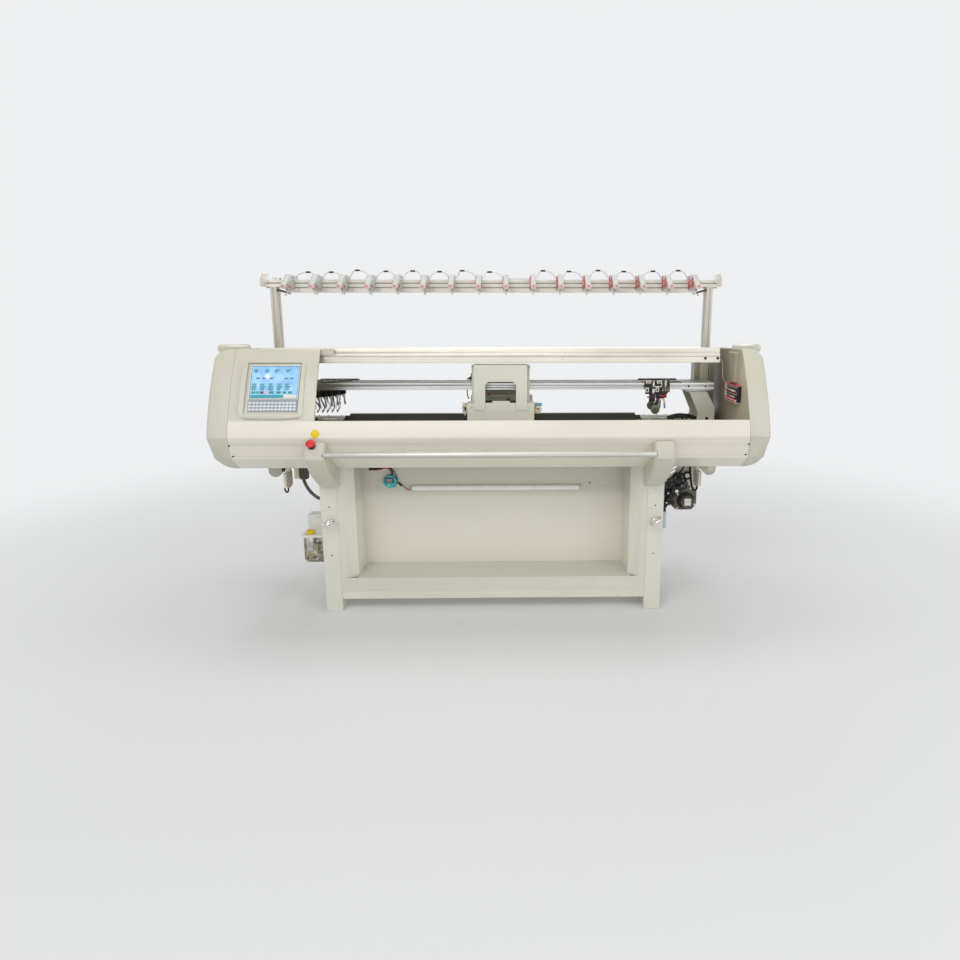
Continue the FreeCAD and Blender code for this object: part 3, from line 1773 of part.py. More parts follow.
# ---------------------------------------------------------------- carriage drive
def belt_loop(radius):
    """A belt line round both pulleys."""
    far = S.pulley_x
    return [
        (-far, S.pulley_z - radius),
        (far, S.pulley_z - radius),
        Bend(radius),
        (far, S.pulley_z + radius),
        (-far, S.pulley_z + radius),
        Bend(radius),
    ]


def drive_belt():
    body = DOCUMENT.addObject("PartDesign::Body", "drive_belt")
    inner = S.pulley_radius + S.slide_gap
    loops = [belt_loop(inner + S.belt_thick), belt_loop(inner)]
    low, high = S.pulley_front + S.belt_edge, S.pulley_rear - S.belt_edge
    add_pad(body, "belt", "XZ", loops, low, high)
    return body


def belt_pulley(name, side):
    bore = S.pulley_shaft + S.running_fit
    wide = S.pulley_rear - S.pulley_front - 2 * S.slide_gap
    radius = S.pulley_radius
    hub = radius * 2 / 3
    dish = wide / 4
    profile = [
        (bore, 0),
        (hub, 0),
        (hub, dish),
        (radius - dish, dish),
        (radius - dish, 0),
        (radius, 0),
        (radius, wide),
        (bore, wide),
    ]
    at = (side * S.pulley_x, S.pulley_front + S.slide_gap, S.pulley_z)
    return place(turned(name, profile), at, TURNS["Y"])


def drive_motor():
    start = S.pulley_rear + S.motor_gap
    centre = (S.pulley_x, S.pulley_z)
    can = rod("drive_can", "Y", centre, S.motor_radius, start, S.motor_rear)
    shaft = rod("drive_shaft", "Y", centre, S.pulley_shaft, S.pulley_front, start)
    top = S.pulley_z - S.motor_radius
    far = S.base_half - S.seam_gap
    shelf = block(
        "motor_shelf",
        (far - S.shelf_wide, S.ledge_out, top - S.shelf_thick),
        (far, S.motor_rear, top),
    )
    pad = block(
        "motor_saddle",
        (S.pulley_x - S.shelf_thick, start, top),
        (S.pulley_x + S.shelf_thick, S.motor_rear, S.pulley_z),
    )
    return joined("drive_motor", [can, shaft, shelf, pad])


# ---------------------------------------------------------------- carriage
def box_outline(side):
    """Cam box over one needle bed: follows the bed's slope and straddles its guide rail."""
    gap = S.slide_gap
    slope = S.crest_z + S.bed_gap + S.bed_clear
    rail_top = S.ledge_z + S.guide_tall + gap
    corners = [
        (S.box_front, BOX_FOOT),
        (S.box_front, S.box_top),
        (S.box_shoulder, S.box_top),
        (S.box_nose_out, S.box_nose_z),
        (S.box_nose_out, slope - S.box_nose_out),
        (slope - BOX_FOOT, BOX_FOOT),
        (S.guide_in - gap, BOX_FOOT),
        (S.guide_in - gap, rail_top),
        (S.guide_out + gap, rail_top),
        (S.guide_out + gap, BOX_FOOT),
    ]
    return [(side * out, height) for out, height in corners]


def carriage_front_box():
    """The front cam box with a brush holder on each end."""
    left, right = S.carriage_x - S.box_half, S.carriage_x + S.box_half
    box = prism("front_cam_box", "YZ", box_outline(-1), left, right)
    holders = []
    for name, start in (("left", left - S.brush_wide), ("right", right)):
        low = (start, -S.brush_front, S.brush_low)
        high = (start + S.brush_wide, S.brush_deep - S.brush_front, S.brush_high)
        holders.append(block("brush_holder_" + name, low, high))
    return joined("carriage_front_box", [box] + holders)


def carriage_rear_box():
    left, right = S.carriage_x - S.box_half, S.carriage_x + S.box_half
    box = prism("rear_cam_box", "YZ", box_outline(1), left, right)
    belt_top = S.pulley_z + S.pulley_radius + S.slide_gap + S.belt_thick + S.slide_gap
    half = S.clamp_wide / 2
    clamp = block(
        "belt_clamp",
        (S.carriage_x - half, S.box_front, belt_top),
        (S.carriage_x + half, S.pulley_rear - S.belt_edge, belt_top + S.clamp_tall),
    )
    return joined("carriage_rear_box", [box, clamp])


def carriage_bridge():
    """The arch that carries both cam boxes over the yarn rails."""
    left, right = S.carriage_x - S.bridge_half, S.carriage_x + S.bridge_half
    out = S.bridge_in + S.bridge_wall
    top = block("bridge_top", (left, -out, S.bridge_low), (right, out, S.bridge_high))
    legs = []
    for side in (-1, 1):
        for foot, start in (("left", left), ("right", right - S.bridge_leg)):
            near, far = (S.bridge_in, out) if side > 0 else (-out, -S.bridge_in)
            name = "bridge_leg_%s_%d" % (foot, side + 1)
            low = (start, near, S.box_top)
            legs.append(block(name, low, (start + S.bridge_leg, far, S.bridge_low)))
    return joined("carriage_bridge", [top] + legs)


def cover_sheet(name, low_edge, near, far):
    """Folded cover with the arched window that the yarn rails show through."""
    left, right = S.carriage_x - S.cover_half, S.carriage_x + S.cover_half
    window_left, window_right = S.carriage_x - S.window_half, S.carriage_x + S.window_half
    corner = S.window_cut
    outline = [
        (left, low_edge),
        (window_left, low_edge),
        (window_left, S.window_top - corner),
        (window_left + corner, S.window_top),
        (window_right - corner, S.window_top),
        (window_right, S.window_top - corner),
        (window_right, low_edge),
        (right, low_edge),
        (right, S.cover_high),
        (left, S.cover_high),
    ]
    return prism(name, "XZ", outline, near, far)


def carriage_covers():
    front_near = -S.box_front - S.cover_thick
    front = cover_sheet("front_cover_face", S.cover_low, front_near, -S.box_front)
    left, right = S.carriage_x - S.cover_half, S.carriage_x + S.cover_half
    out = S.bridge_in + S.bridge_wall
    hood = block(
        "front_cover_hood", (left, -S.box_front, S.bridge_high), (right, -out, S.cover_high)
    )
    roof = block("cover_roof", (left, -out, S.bridge_high), (right, out, S.cover_high))
    rear = cover_sheet("rear_cover_face", S.box_top, out, out + S.cover_thick)
    return joined("carriage_cover", [front, hood, roof, rear])


# ---------------------------------------------------------------- yarn carriers
def lane_y(lane):
    """The middle of a carrier's block, for lanes 0 to 7 counted from the front."""
    rail = (lane // 2 - (S.rail_count - 1) / 2) * S.rail_pitch
    side = 1 if lane % 2 else -1
    offset = (S.rail_thick + S.carrier_block_thick) / 2 + S.slide_gap
    return rail + side * offset, side


def yarn_carrier(lane, middle):
    """One carrier: a sliding plate over the rail, a block beside it and a bent feeder arm."""
    across, side = lane_y(lane)
    half_thick = S.carrier_block_thick / 2
    near, far = across - half_thick, across + half_thick
    plate_low = S.rail_high + S.slide_gap
    lap = S.rail_thick / 2 - S.slide_gap
    plate_near, plate_far = (near - lap, far) if side > 0 else (near, far + lap)
    name = "yarn_carrier_%d" % (lane + 1)
    plate = block(
        name + "_plate",
        (middle - S.carrier_plate_half, plate_near, plate_low),
        (middle + S.carrier_plate_half, plate_far, plate_low + S.carrier_plate_thick),
    )
    body = block(
        name + "_block",
        (middle - S.carrier_block_half, near, S.carrier_block_low),
        (middle + S.carrier_block_half, far, plate_low),
    )
    thin = S.carrier_arm_thick / 2
    tip = (lane - S.rail_count + 0.5) * S.carrier_tip_pitch
    knee, ankle, low = S.carrier_knee_z, S.carrier_ankle_z, S.carrier_tip_z
    outline = [
        (across + thin, S.carrier_block_low),
        (across + thin, knee),
        (tip + thin, ankle),
        (tip + thin, low),
        (tip - thin, low),
        (tip - thin, ankle),
        (across - thin, knee),
        (across - thin, S.carrier_block_low),
    ]
    half = S.carrier_arm_wide / 2
    arm = prism(name + "_arm", "YZ", outline, middle - half, middle + half)
    return joined(name, [plate, body, arm])


def yarn_carriers():
    """Six carriers parked at the left and two at the right, each on a track of its own."""
    left_lanes, right_lanes = (1, 2, 3, 4, 5, 7), (0, 6)
    carriers = []
    for order, lane in enumerate(left_lanes):
        middle = order * S.carrier_left_pitch - S.carrier_left_first
        carriers.append(yarn_carrier(lane, middle))
    for order, lane in enumerate(right_lanes):
        middle = S.carrier_right_first + order * S.carrier_right_pitch
        carriers.append(yarn_carrier(lane, middle))
    return carriers


# ---------------------------------------------------------------- the machine
def build_machine():
    right_stand = stand()
    right_cap = end_cap()
    parts = [
        right_stand,
        mirrored("left_stand", right_stand),
        cross_rails(),
        fabric_bin(),
        bed_base(),
        front_needle_bed(),
        rear_needle_bed(),
        bed_end_plates(),
        guide_rails(),
        front_panel(),
        rear_panel(),
        right_cap,
        mirrored("left_end_cap", right_cap),
        control_housing(),
        screen(),
        keypad(),
        inner_end_panels(),
        terminal_blocks(),
        top_tubes(),
        top_beams(),
        side_columns(),
        feed_posts(),
        feed_bar(),
        yarn_rails(),
        rail_brackets(),
        tension_housings(),
        tension_levers(),
        jumper_leads(),
        bar_brackets(),
        operating_bar(),
        stop_button_base(),
        stop_button(),
        takedown_roller(),
        takedown_frame(),
        takedown_motor(),
        takedown_pulley(),
        lubricator_box(),
        lubricator_tank(),
        lubricator_cap(),
        lamp_tube(),
        lamp_adapter(),
        eye_bolts(),
        power_units(),
        cable_looms(),
        drive_belt(),
        belt_pulley("drive_pulley", 1),
        belt_pulley("idler_pulley", -1),
        drive_motor(),
        carriage_front_box(),
        carriage_rear_box(),
        carriage_bridge(),
        carriage_covers(),
    ]
    return parts + yarn_carriers()


def check(parts):
    """Stop if any object failed to compute or any sub-part has a bad shape."""
    for item in DOCUMENT.Objects:
        if "Invalid" in item.State or "Error" in item.State:
            raise RuntimeError("%s did not compute: %s" % (item.Name, item.State))
    for part in parts:
        if part.Shape.isNull() or not part.Shape.isValid() or not part.Shape.Solids:
            raise RuntimeError("%s has a bad shape" % part.Label)


def export(parts):
    os.makedirs("parts", exist_ok=True)
    for part in parts:
        part.Shape.exportStep("parts/%s.step" % part.Label)


PARTS = build_machine()
DOCUMENT.recompute()
check(PARTS)
export(PARTS)
print(len(PARTS), "sub-parts")
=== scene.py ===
"""Looks of the computerised flat knitting machine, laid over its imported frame.

Materials work in metres. Pieces are drawn in millimetres and brought to metres when they are done.
"""
import json
import math
import random

import bmesh
import bpy
from mathutils import Matrix, Vector


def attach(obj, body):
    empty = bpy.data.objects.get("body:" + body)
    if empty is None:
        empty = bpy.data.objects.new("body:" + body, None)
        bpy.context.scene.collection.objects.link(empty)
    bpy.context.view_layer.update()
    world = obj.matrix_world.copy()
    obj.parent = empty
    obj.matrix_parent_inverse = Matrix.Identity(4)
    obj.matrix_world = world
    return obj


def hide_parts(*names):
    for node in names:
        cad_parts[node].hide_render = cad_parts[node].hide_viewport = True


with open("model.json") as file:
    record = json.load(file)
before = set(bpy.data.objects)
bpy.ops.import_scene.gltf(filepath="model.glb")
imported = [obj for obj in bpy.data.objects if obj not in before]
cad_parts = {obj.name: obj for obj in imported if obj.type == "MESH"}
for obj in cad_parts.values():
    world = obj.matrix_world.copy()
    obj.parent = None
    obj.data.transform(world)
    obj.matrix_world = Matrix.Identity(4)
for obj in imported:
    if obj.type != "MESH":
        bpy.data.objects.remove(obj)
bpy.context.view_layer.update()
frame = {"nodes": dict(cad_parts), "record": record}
NODES = frame["nodes"]
BODY_OF = {}
for body_name, members in frame["record"]["behaviour"]["bodies"].items():
    for member in members:
        BODY_OF[member] = body_name
CHANCE = random.Random(41)
MM = 0.001


# ---------------------------------------------------------------- finishes
def linear(channel):
    """One channel of a colour from its 0-255 reading."""
    share = channel / 255
    return share / 12.92 if share <= 0.04045 else ((share + 0.055) / 1.055) ** 2.4


def tint(colour, share=1.0):
    """A shader colour from 0-255 readings, lighter or darker by a share."""
    return tuple(min(1.0, linear(channel) * share) for channel in colour) + (1.0,)


class Finish:
    """A material in the making: its nodes, and the shader at its end."""

    def __init__(self, name, metallic=0.0, roughness=0.5, coat=0.0, ior=1.45):
        self.material = bpy.data.materials.new(name)
        self.material.use_nodes = True
        self.tree = self.material.node_tree
        self.shader = self.tree.nodes["Principled BSDF"]
        self.set("Metallic", metallic)
        self.set("Roughness", roughness)
        self.set("Coat Weight", coat)
        self.set("IOR", ior)
        self.place = self.tree.nodes.new("ShaderNodeTexCoord").outputs["Object"]

    def set(self, socket, value):
        self.shader.inputs[socket].default_value = value

    def node(self, kind, **settings):
        made = self.tree.nodes.new(kind)
        for key, value in settings.items():
            setattr(made, key, value)
        return made

    def link(self, source, target):
        self.tree.links.new(source, target)

    def moved(self, scale=(1, 1, 1), place=(0, 0, 0), turn=(0, 0, 0)):
        """Object coordinates, shifted, turned and drawn out along the axes."""
        mapping = self.node("ShaderNodeMapping")
        mapping.inputs["Location"].default_value = place
        mapping.inputs["Scale"].default_value = scale
        mapping.inputs["Rotation"].default_value = turn
        self.link(self.place, mapping.inputs["Vector"])
        return mapping.outputs["Vector"]

    def noise(self, scale, detail=2.0, vector=None, roughness=0.5):
        made = self.node("ShaderNodeTexNoise")
        made.inputs["Scale"].default_value = scale
        made.inputs["Detail"].default_value = detail
        made.inputs["Roughness"].default_value = roughness
        self.link(vector or self.place, made.inputs["Vector"])
        return made.outputs["Fac"]

    def spread(self, source, low, high, start=0.3, stop=0.7):
        """The source's range start..stop, laid out over low..high."""
        made = self.node("ShaderNodeMapRange")
        made.inputs["From Min"].default_value = start
        made.inputs["From Max"].default_value = stop
        made.inputs["To Min"].default_value = low
        made.inputs["To Max"].default_value = high
        self.link(source, made.inputs["Value"])
        return made.outputs["Result"]

    def ramp(self, source, stops):
        """Colours along the source, as pairs of place and colour."""
        made = self.node("ShaderNodeValToRGB")
        band = made.color_ramp
        for index, (at, colour) in enumerate(stops):
            spot = band.elements[index] if index < 2 else band.elements.new(at)
            spot.position = at
            spot.color = colour
        self.link(source, made.inputs["Fac"])
        return made.outputs["Color"]

    def mix(self, share, first, second):
        made = self.node("ShaderNodeMix", data_type="RGBA")
        for value, socket in ((share, made.inputs[0]), (first, made.inputs[6]), (second, made.inputs[7])):
            if isinstance(value, (tuple, float)):
                socket.default_value = value
            else:
                self.link(value, socket)
        return made.outputs[2]

    def colour(self, source):
        self.link(source, self.shader.inputs["Base Color"])

    def rough(self, source):
        self.link(source, self.shader.inputs["Roughness"])

    def bump(self, source, strength, distance):
        made = self.node("ShaderNodeBump")
        made.inputs["Strength"].default_value = strength
        made.inputs["Distance"].default_value = distance
        self.link(source, made.inputs["Height"])
        self.link(made.outputs["Normal"], self.shader.inputs["Normal"])


def painted(name, colour, roughness=0.38, dust=0.03, coat=0.15):
    """Sprayed enamel: fine orange peel, slow changes of tone and a little dust."""
    made = Finish(name, roughness=roughness, coat=coat)
    made.set("Coat Roughness", 0.2)
    tone = made.noise(3.1, 3.0)
    clean = made.ramp(tone, [(0.3, tint(colour, 0.965)), (0.7, tint(colour, 1.02))])
    speck = made.spread(made.noise(46.0, 6.0, roughness=0.65), 0.0, 0.5, 0.6, 0.9)
    made.colour(made.mix(speck, clean, tint(colour, 1.0 - 3 * dust)))
    made.rough(made.spread(made.noise(70.0, 4.0), roughness - 0.05, roughness + 0.07))
    made.bump(made.noise(620.0, 2.0), 0.05, 0.0005)
    return made.material


def brushed(name, colour, roughness=0.3, along="X", depth=0.1, metallic=1.0):
    """Drawn or ground metal with fine lines along one axis."""
    made = Finish(name, metallic=metallic, roughness=roughness)
    fine, slow = 700.0, 4.0
    lines = made.noise(1.0, 3.0, made.moved([slow if axis == along else fine for axis in "XYZ"]))
    tone = made.noise(5.0, 4.0)
    worn = made.ramp(tone, [(0.3, tint(colour, 0.88)), (0.7, tint(colour, 1.05))])
    made.colour(made.mix(made.spread(lines, 0.0, 0.4), worn, tint(colour, 0.7)))
    made.rough(made.spread(lines, roughness - 0.06, roughness + 0.1))
    made.bump(lines, depth, 0.0002)
    return made.material


def polished(name, colour, roughness=0.1):
    """Chrome or bright steel, with faint smears."""
    made = Finish(name, metallic=1.0, roughness=roughness)
    smear = made.noise(34.0, 5.0, roughness=0.6)
    made.colour(made.ramp(smear, [(0.3, tint(colour, 0.9)), (0.7, tint(colour, 1.03))]))
    made.rough(made.spread(smear, roughness - 0.03, roughness + 0.08))
    made.bump(made.noise(260.0, 3.0), 0.03, 0.0003)
    return made.material


def moulded(name, colour, roughness=0.4, grain=0.08, coat=0.0, glow=0.0):
    """Moulded plastic with a fine spark-eroded grain."""
    made = Finish(name, roughness=roughness, coat=coat)
    tone = made.noise(18.0, 3.0)
    made.colour(made.ramp(tone, [(0.3, tint(colour, 0.93)), (0.7, tint(colour, 1.04))]))
    made.rough(made.spread(made.noise(150.0, 3.0), roughness - 0.05, roughness + 0.06))
    made.bump(made.noise(1500.0, 2.0), grain, 0.0003)
    made.set("Emission Color", tint(colour))
    made.set("Emission Strength", glow)
    return made.material


def rubbery(name, colour, roughness=0.72):
    """Rubber or cable sheath: dull, with rubbed streaks."""
    made = Finish(name, roughness=roughness)
    rub = made.noise(60.0, 6.0, roughness=0.6)
    made.colour(made.ramp(rub, [(0.35, tint(colour, 0.8)), (0.75, tint(colour, 1.5))]))
    made.rough(made.spread(rub, roughness + 0.08, roughness - 0.12))
    made.bump(made.noise(700.0, 3.0), 0.15, 0.0004)
    return made.material


def cast_dark(name, colour, metallic=0.5):
    """Dark cast and machined parts with an oily film."""
    made = Finish(name, metallic=metallic, roughness=0.45)
    oil = made.noise(24.0, 6.0, roughness=0.6)
    made.colour(made.ramp(oil, [(0.3, tint(colour, 0.6)), (0.7, tint(colour, 1.25))]))
    made.rough(made.spread(oil, 0.32, 0.6))
    made.bump(made.noise(420.0, 4.0), 0.2, 0.0005)
    return made.material


def lit_screen():
    """A lit display: pale blue that deepens to the lower left, with a soft painted glare, a painted
    reflection of the lights that also glows.
    """
    made = Finish("lit_screen", roughness=0.16, coat=0.4)
    # painted glare: a painted highlight from the lights, mixed into both the colour and the glow
    painted_glare = made.node("ShaderNodeTexGradient", gradient_type="SPHERICAL")
    made.link(made.moved((60, 60, 60), (57.6, 17.1, -67.6)), painted_glare.inputs["Vector"])
    cloud = made.noise(22.0, 3.0)
    sky = made.ramp(cloud, [(0.35, tint((100, 168, 220))), (0.65, tint((136, 196, 234)))])
    near = made.mix(painted_glare.outputs["Fac"], sky, tint((226, 238, 240)))
    made.colour(near)
    made.link(near, made.shader.inputs["Emission Color"])
    made.set("Emission Strength", 0.14)
    return made.material


def smoked_tank():
    """Clear plastic over brown oil works: a see-through tank with stains."""
    made = Finish("smoked_tank", roughness=0.12, coat=0.3)
    made.set("Transmission Weight", 0.35)
    stain = made.noise(38.0, 6.0, roughness=0.7)
    made.colour(made.ramp(stain, [(0.35, tint((118, 106, 88))), (0.6, tint((196, 191, 174)))]))
    made.rough(made.spread(stain, 0.08, 0.3))
    made.bump(made.noise(90.0, 3.0), 0.2, 0.001)
    return made.material


def inner_panel_painted_shade():
    """The end panel's inner face: beige enamel with painted shade that makes it darker and browner back by
    the column, with darker streaks.
    """
    made = Finish("inner_panel_enamel", roughness=0.4, coat=0.1)
    parts = made.node("ShaderNodeSeparateXYZ")
    made.link(made.place, parts.inputs[0])
    # painted shade: the face darkens towards the back, deeper inside the cap
    depth = made.spread(parts.outputs["Y"], 0.0, 1.0, -0.26, 0.06)
    base = made.ramp(depth, [(0.0, tint((212, 203, 178))), (1.0, tint((126, 118, 98)))])
    streak = made.noise(1.0, 3.0, made.moved((1.0, 6.0, 2.0), turn=(0.5, 0, 0)))
    made.colour(made.mix(made.spread(streak, 0.0, 0.3), base, tint((92, 88, 74))))
    made.rough(made.spread(made.noise(12.0, 2.0), 0.36, 0.46))
    return made.material


def bin_enamel():
    """Smooth glossy enamel: cream in front; inside, greyer on the bin's floor, which is painted shade, and
    greyer high on its back.
    """
    made = Finish("bin_enamel", roughness=0.24, coat=0.3)
    made.set("Coat Roughness", 0.12)
    parts = made.node("ShaderNodeSeparateXYZ")
    made.link(made.place, parts.inputs[0])
    height = made.spread(parts.outputs["Z"], 0.0, 1.0, 0.15, 0.65)
    # painted shade: the inside is darker low down on the bin's floor
    inside_painted_shade = made.ramp(height, [(0.03, tint((204, 205, 191))), (0.05, tint((229, 226, 212))),
                                (0.7, tint((229, 226, 212))), (0.8, tint((212, 210, 194)))])
    front = made.spread(parts.outputs["Y"], 1.0, 0.0, -0.192, -0.15)
    slow = made.ramp(made.noise(2.4, 2.0), [(0.3, tint((212, 210, 197))), (0.7, tint((220, 218, 205)))])
    made.colour(made.mix(front, inside_painted_shade, slow))
    made.rough(made.spread(made.noise(4.0, 2.0), 0.2, 0.28))
    return made.material


CREAM = painted("cream_enamel", (235, 230, 217), roughness=0.32)
SHELL = painted("grey_green_enamel", (209, 206, 190), roughness=0.34)
STAND = painted("stand_enamel", (222, 220, 207), roughness=0.4)
BIN = bin_enamel()
CASTING = painted("casting_enamel", (200, 199, 185), roughness=0.42, dust=0.05)
END_PLATE = painted("end_plate_enamel", (164, 165, 151), roughness=0.5, dust=0.06)
BEAM = brushed("beam_alloy", (232, 227, 214), roughness=0.38, metallic=0.65, depth=0.08)
FEED_BAR = brushed("feed_bar_satin", (252, 248, 239), roughness=0.46, metallic=0.08, depth=0.04)
CARRIAGE = painted("carriage_enamel", (222, 221, 208), roughness=0.34)
COLUMN = painted("column_enamel", (154, 147, 128), roughness=0.34, dust=0.06)
PALE_PLATE = painted("pale_plate_enamel", (200, 196, 172), roughness=0.36)
GEAR_PLATE = painted("gear_plate_enamel", (218, 215, 203), roughness=0.4)
DRIVE_PLATE = painted("drive_plate_enamel", (96, 88, 76), roughness=0.46, dust=0.06)
POWER_BOX = painted("power_box_enamel", (226, 219, 203), roughness=0.42)
BAR_ALLOY = brushed("operating_bar_alloy", (212, 210, 205), roughness=0.4, metallic=0.8, depth=0.06)
INNER_PANEL = inner_panel_painted_shade()
RAIL = brushed("rail_alloy", (200, 201, 199), roughness=0.28)
POST = brushed("post_alloy", (212, 207, 196), roughness=0.38, along="Z", metallic=0.5, depth=0.06)
GROUND = brushed("ground_steel", (160, 160, 156), roughness=0.28)
BED = brushed("bed_steel", (66, 65, 60), roughness=0.42, metallic=0.7)
NEEDLE = polished("needle_steel", (120, 118, 110), roughness=0.3)
CHROME = polished("chrome", (232, 232, 230), roughness=0.09)
ZINC = polished("zinc", (198, 197, 192), roughness=0.26)
STEEL_DISC = brushed("feeder_disc_steel", (122, 116, 100), roughness=0.4, metallic=0.6)
BLACK_OXIDE = cast_dark("black_oxide", (48, 46, 43))
DARK_CAST = cast_dark("dark_casting", (104, 97, 84), metallic=0.35)
BLACK_PLASTIC = moulded("black_plastic", (26, 26, 27), roughness=0.42)
WHITE_PLASTIC = moulded("white_plastic", (232, 231, 226), roughness=0.35, coat=0.1)
IVORY_PLASTIC = moulded("ivory_plastic", (222, 214, 192), roughness=0.4)
GREY_PLASTIC = moulded("grey_plastic", (206, 208, 203), roughness=0.45, grain=0.03)
SILVER_BLUE = moulded("silver_blue_plastic", (186, 196, 206), roughness=0.4)
LEVER_RED = moulded("lever_red", (206, 30, 38), roughness=0.32, coat=0.3)
STOP_RED = moulded("stop_red", (212, 42, 40), roughness=0.36, coat=0.15)
CAP_YELLOW = moulded("cap_yellow", (232, 208, 30), roughness=0.35)
DISC_YELLOW = moulded("disc_yellow", (236, 206, 22), roughness=0.5, grain=0.02)
TURQUOISE = moulded("turquoise_plastic", (66, 188, 198), roughness=0.35)
NAVY = moulded("navy_plastic", (28, 48, 84), roughness=0.35)
CAP_BLUE = moulded("cap_blue", (104, 158, 192), roughness=0.4)
KEYPAD_BLUE = moulded("keypad_blue", (146, 170, 200), roughness=0.5)
KEY_PALE = moulded("key_pale", (234, 232, 220), roughness=0.45)
SCREEN = lit_screen()
MARK_TEAL = moulded("mark_teal", (24, 136, 130), roughness=0.3, grain=0.0, glow=0.1)
MARK_NAVY = moulded("mark_navy", (40, 62, 104), roughness=0.3, grain=0.0)
MARK_PINK = moulded("mark_pink", (222, 176, 178), roughness=0.3, grain=0.0, glow=0.1)
MARK_BAR = moulded("mark_bar", (20, 152, 168), roughness=0.3, grain=0.0, glow=0.1)
TANK = smoked_tank()
LAMP = moulded("lamp_lens", (240, 241, 238), roughness=0.3, grain=0.02, glow=0.05)
RUBBER = rubbery("black_rubber", (22, 22, 23))
HOSE = rubbery("grey_hose", (92, 88, 78), roughness=0.5)
WHITE_LEAD = moulded("white_lead", (222, 225, 226), roughness=0.45)
RED_WIRE = moulded("red_wire", (170, 44, 40), roughness=0.5)
ROSE_WIRE = moulded("rose_wire", (214, 186, 176), roughness=0.5)


# ---------------------------------------------------------------- shaping
ROUND = 28
SOFT_ANGLE = math.radians(35)
AXES = {"X": Vector((1, 0, 0)), "Y": Vector((0, 1, 0)), "Z": Vector((0, 0, 1))}
PLANES = {"X": (1, 2, 0), "Y": (0, 2, 1), "Z": (0, 1, 2)}


def broken_edges(part, edges, size, steps=2):
    """Round the given edges a little."""
    if size > 0 and edges:
        bmesh.ops.bevel(part, geom=edges, offset=size, offset_type="OFFSET", segments=steps, profile=0.5,
                        affect="EDGES", material=-1, clamp_overlap=True)


def turned_to(part, axis, centre):
    """Bring a part that was made upright about Z onto its own axis and place."""
    spin = AXES["Z"].rotation_difference(Vector(axis).normalized()).to_matrix()
    bmesh.ops.rotate(part, cent=(0, 0, 0), matrix=spin, verts=part.verts)
    bmesh.ops.translate(part, vec=centre, verts=part.verts)


def sided(side, inner, outer):
    """Two places on one side of the machine, the lower first."""
    return sorted((side * inner, side * outer))


def slope_frame(low, high, facing=1):
    """The frame of a sloping face between two (y, z) points: X along it, Y up the slope, Z outwards."""
    run, rise = high[0] - low[0], high[1] - low[1]
    up = Vector((0, run, rise)).normalized()
    across = Vector((facing, 0, 0))
    out = across.cross(up)
    turn = Matrix((across, up, out)).transposed().to_4x4()
    return Matrix.Translation((0, low[0], low[1])) @ turn


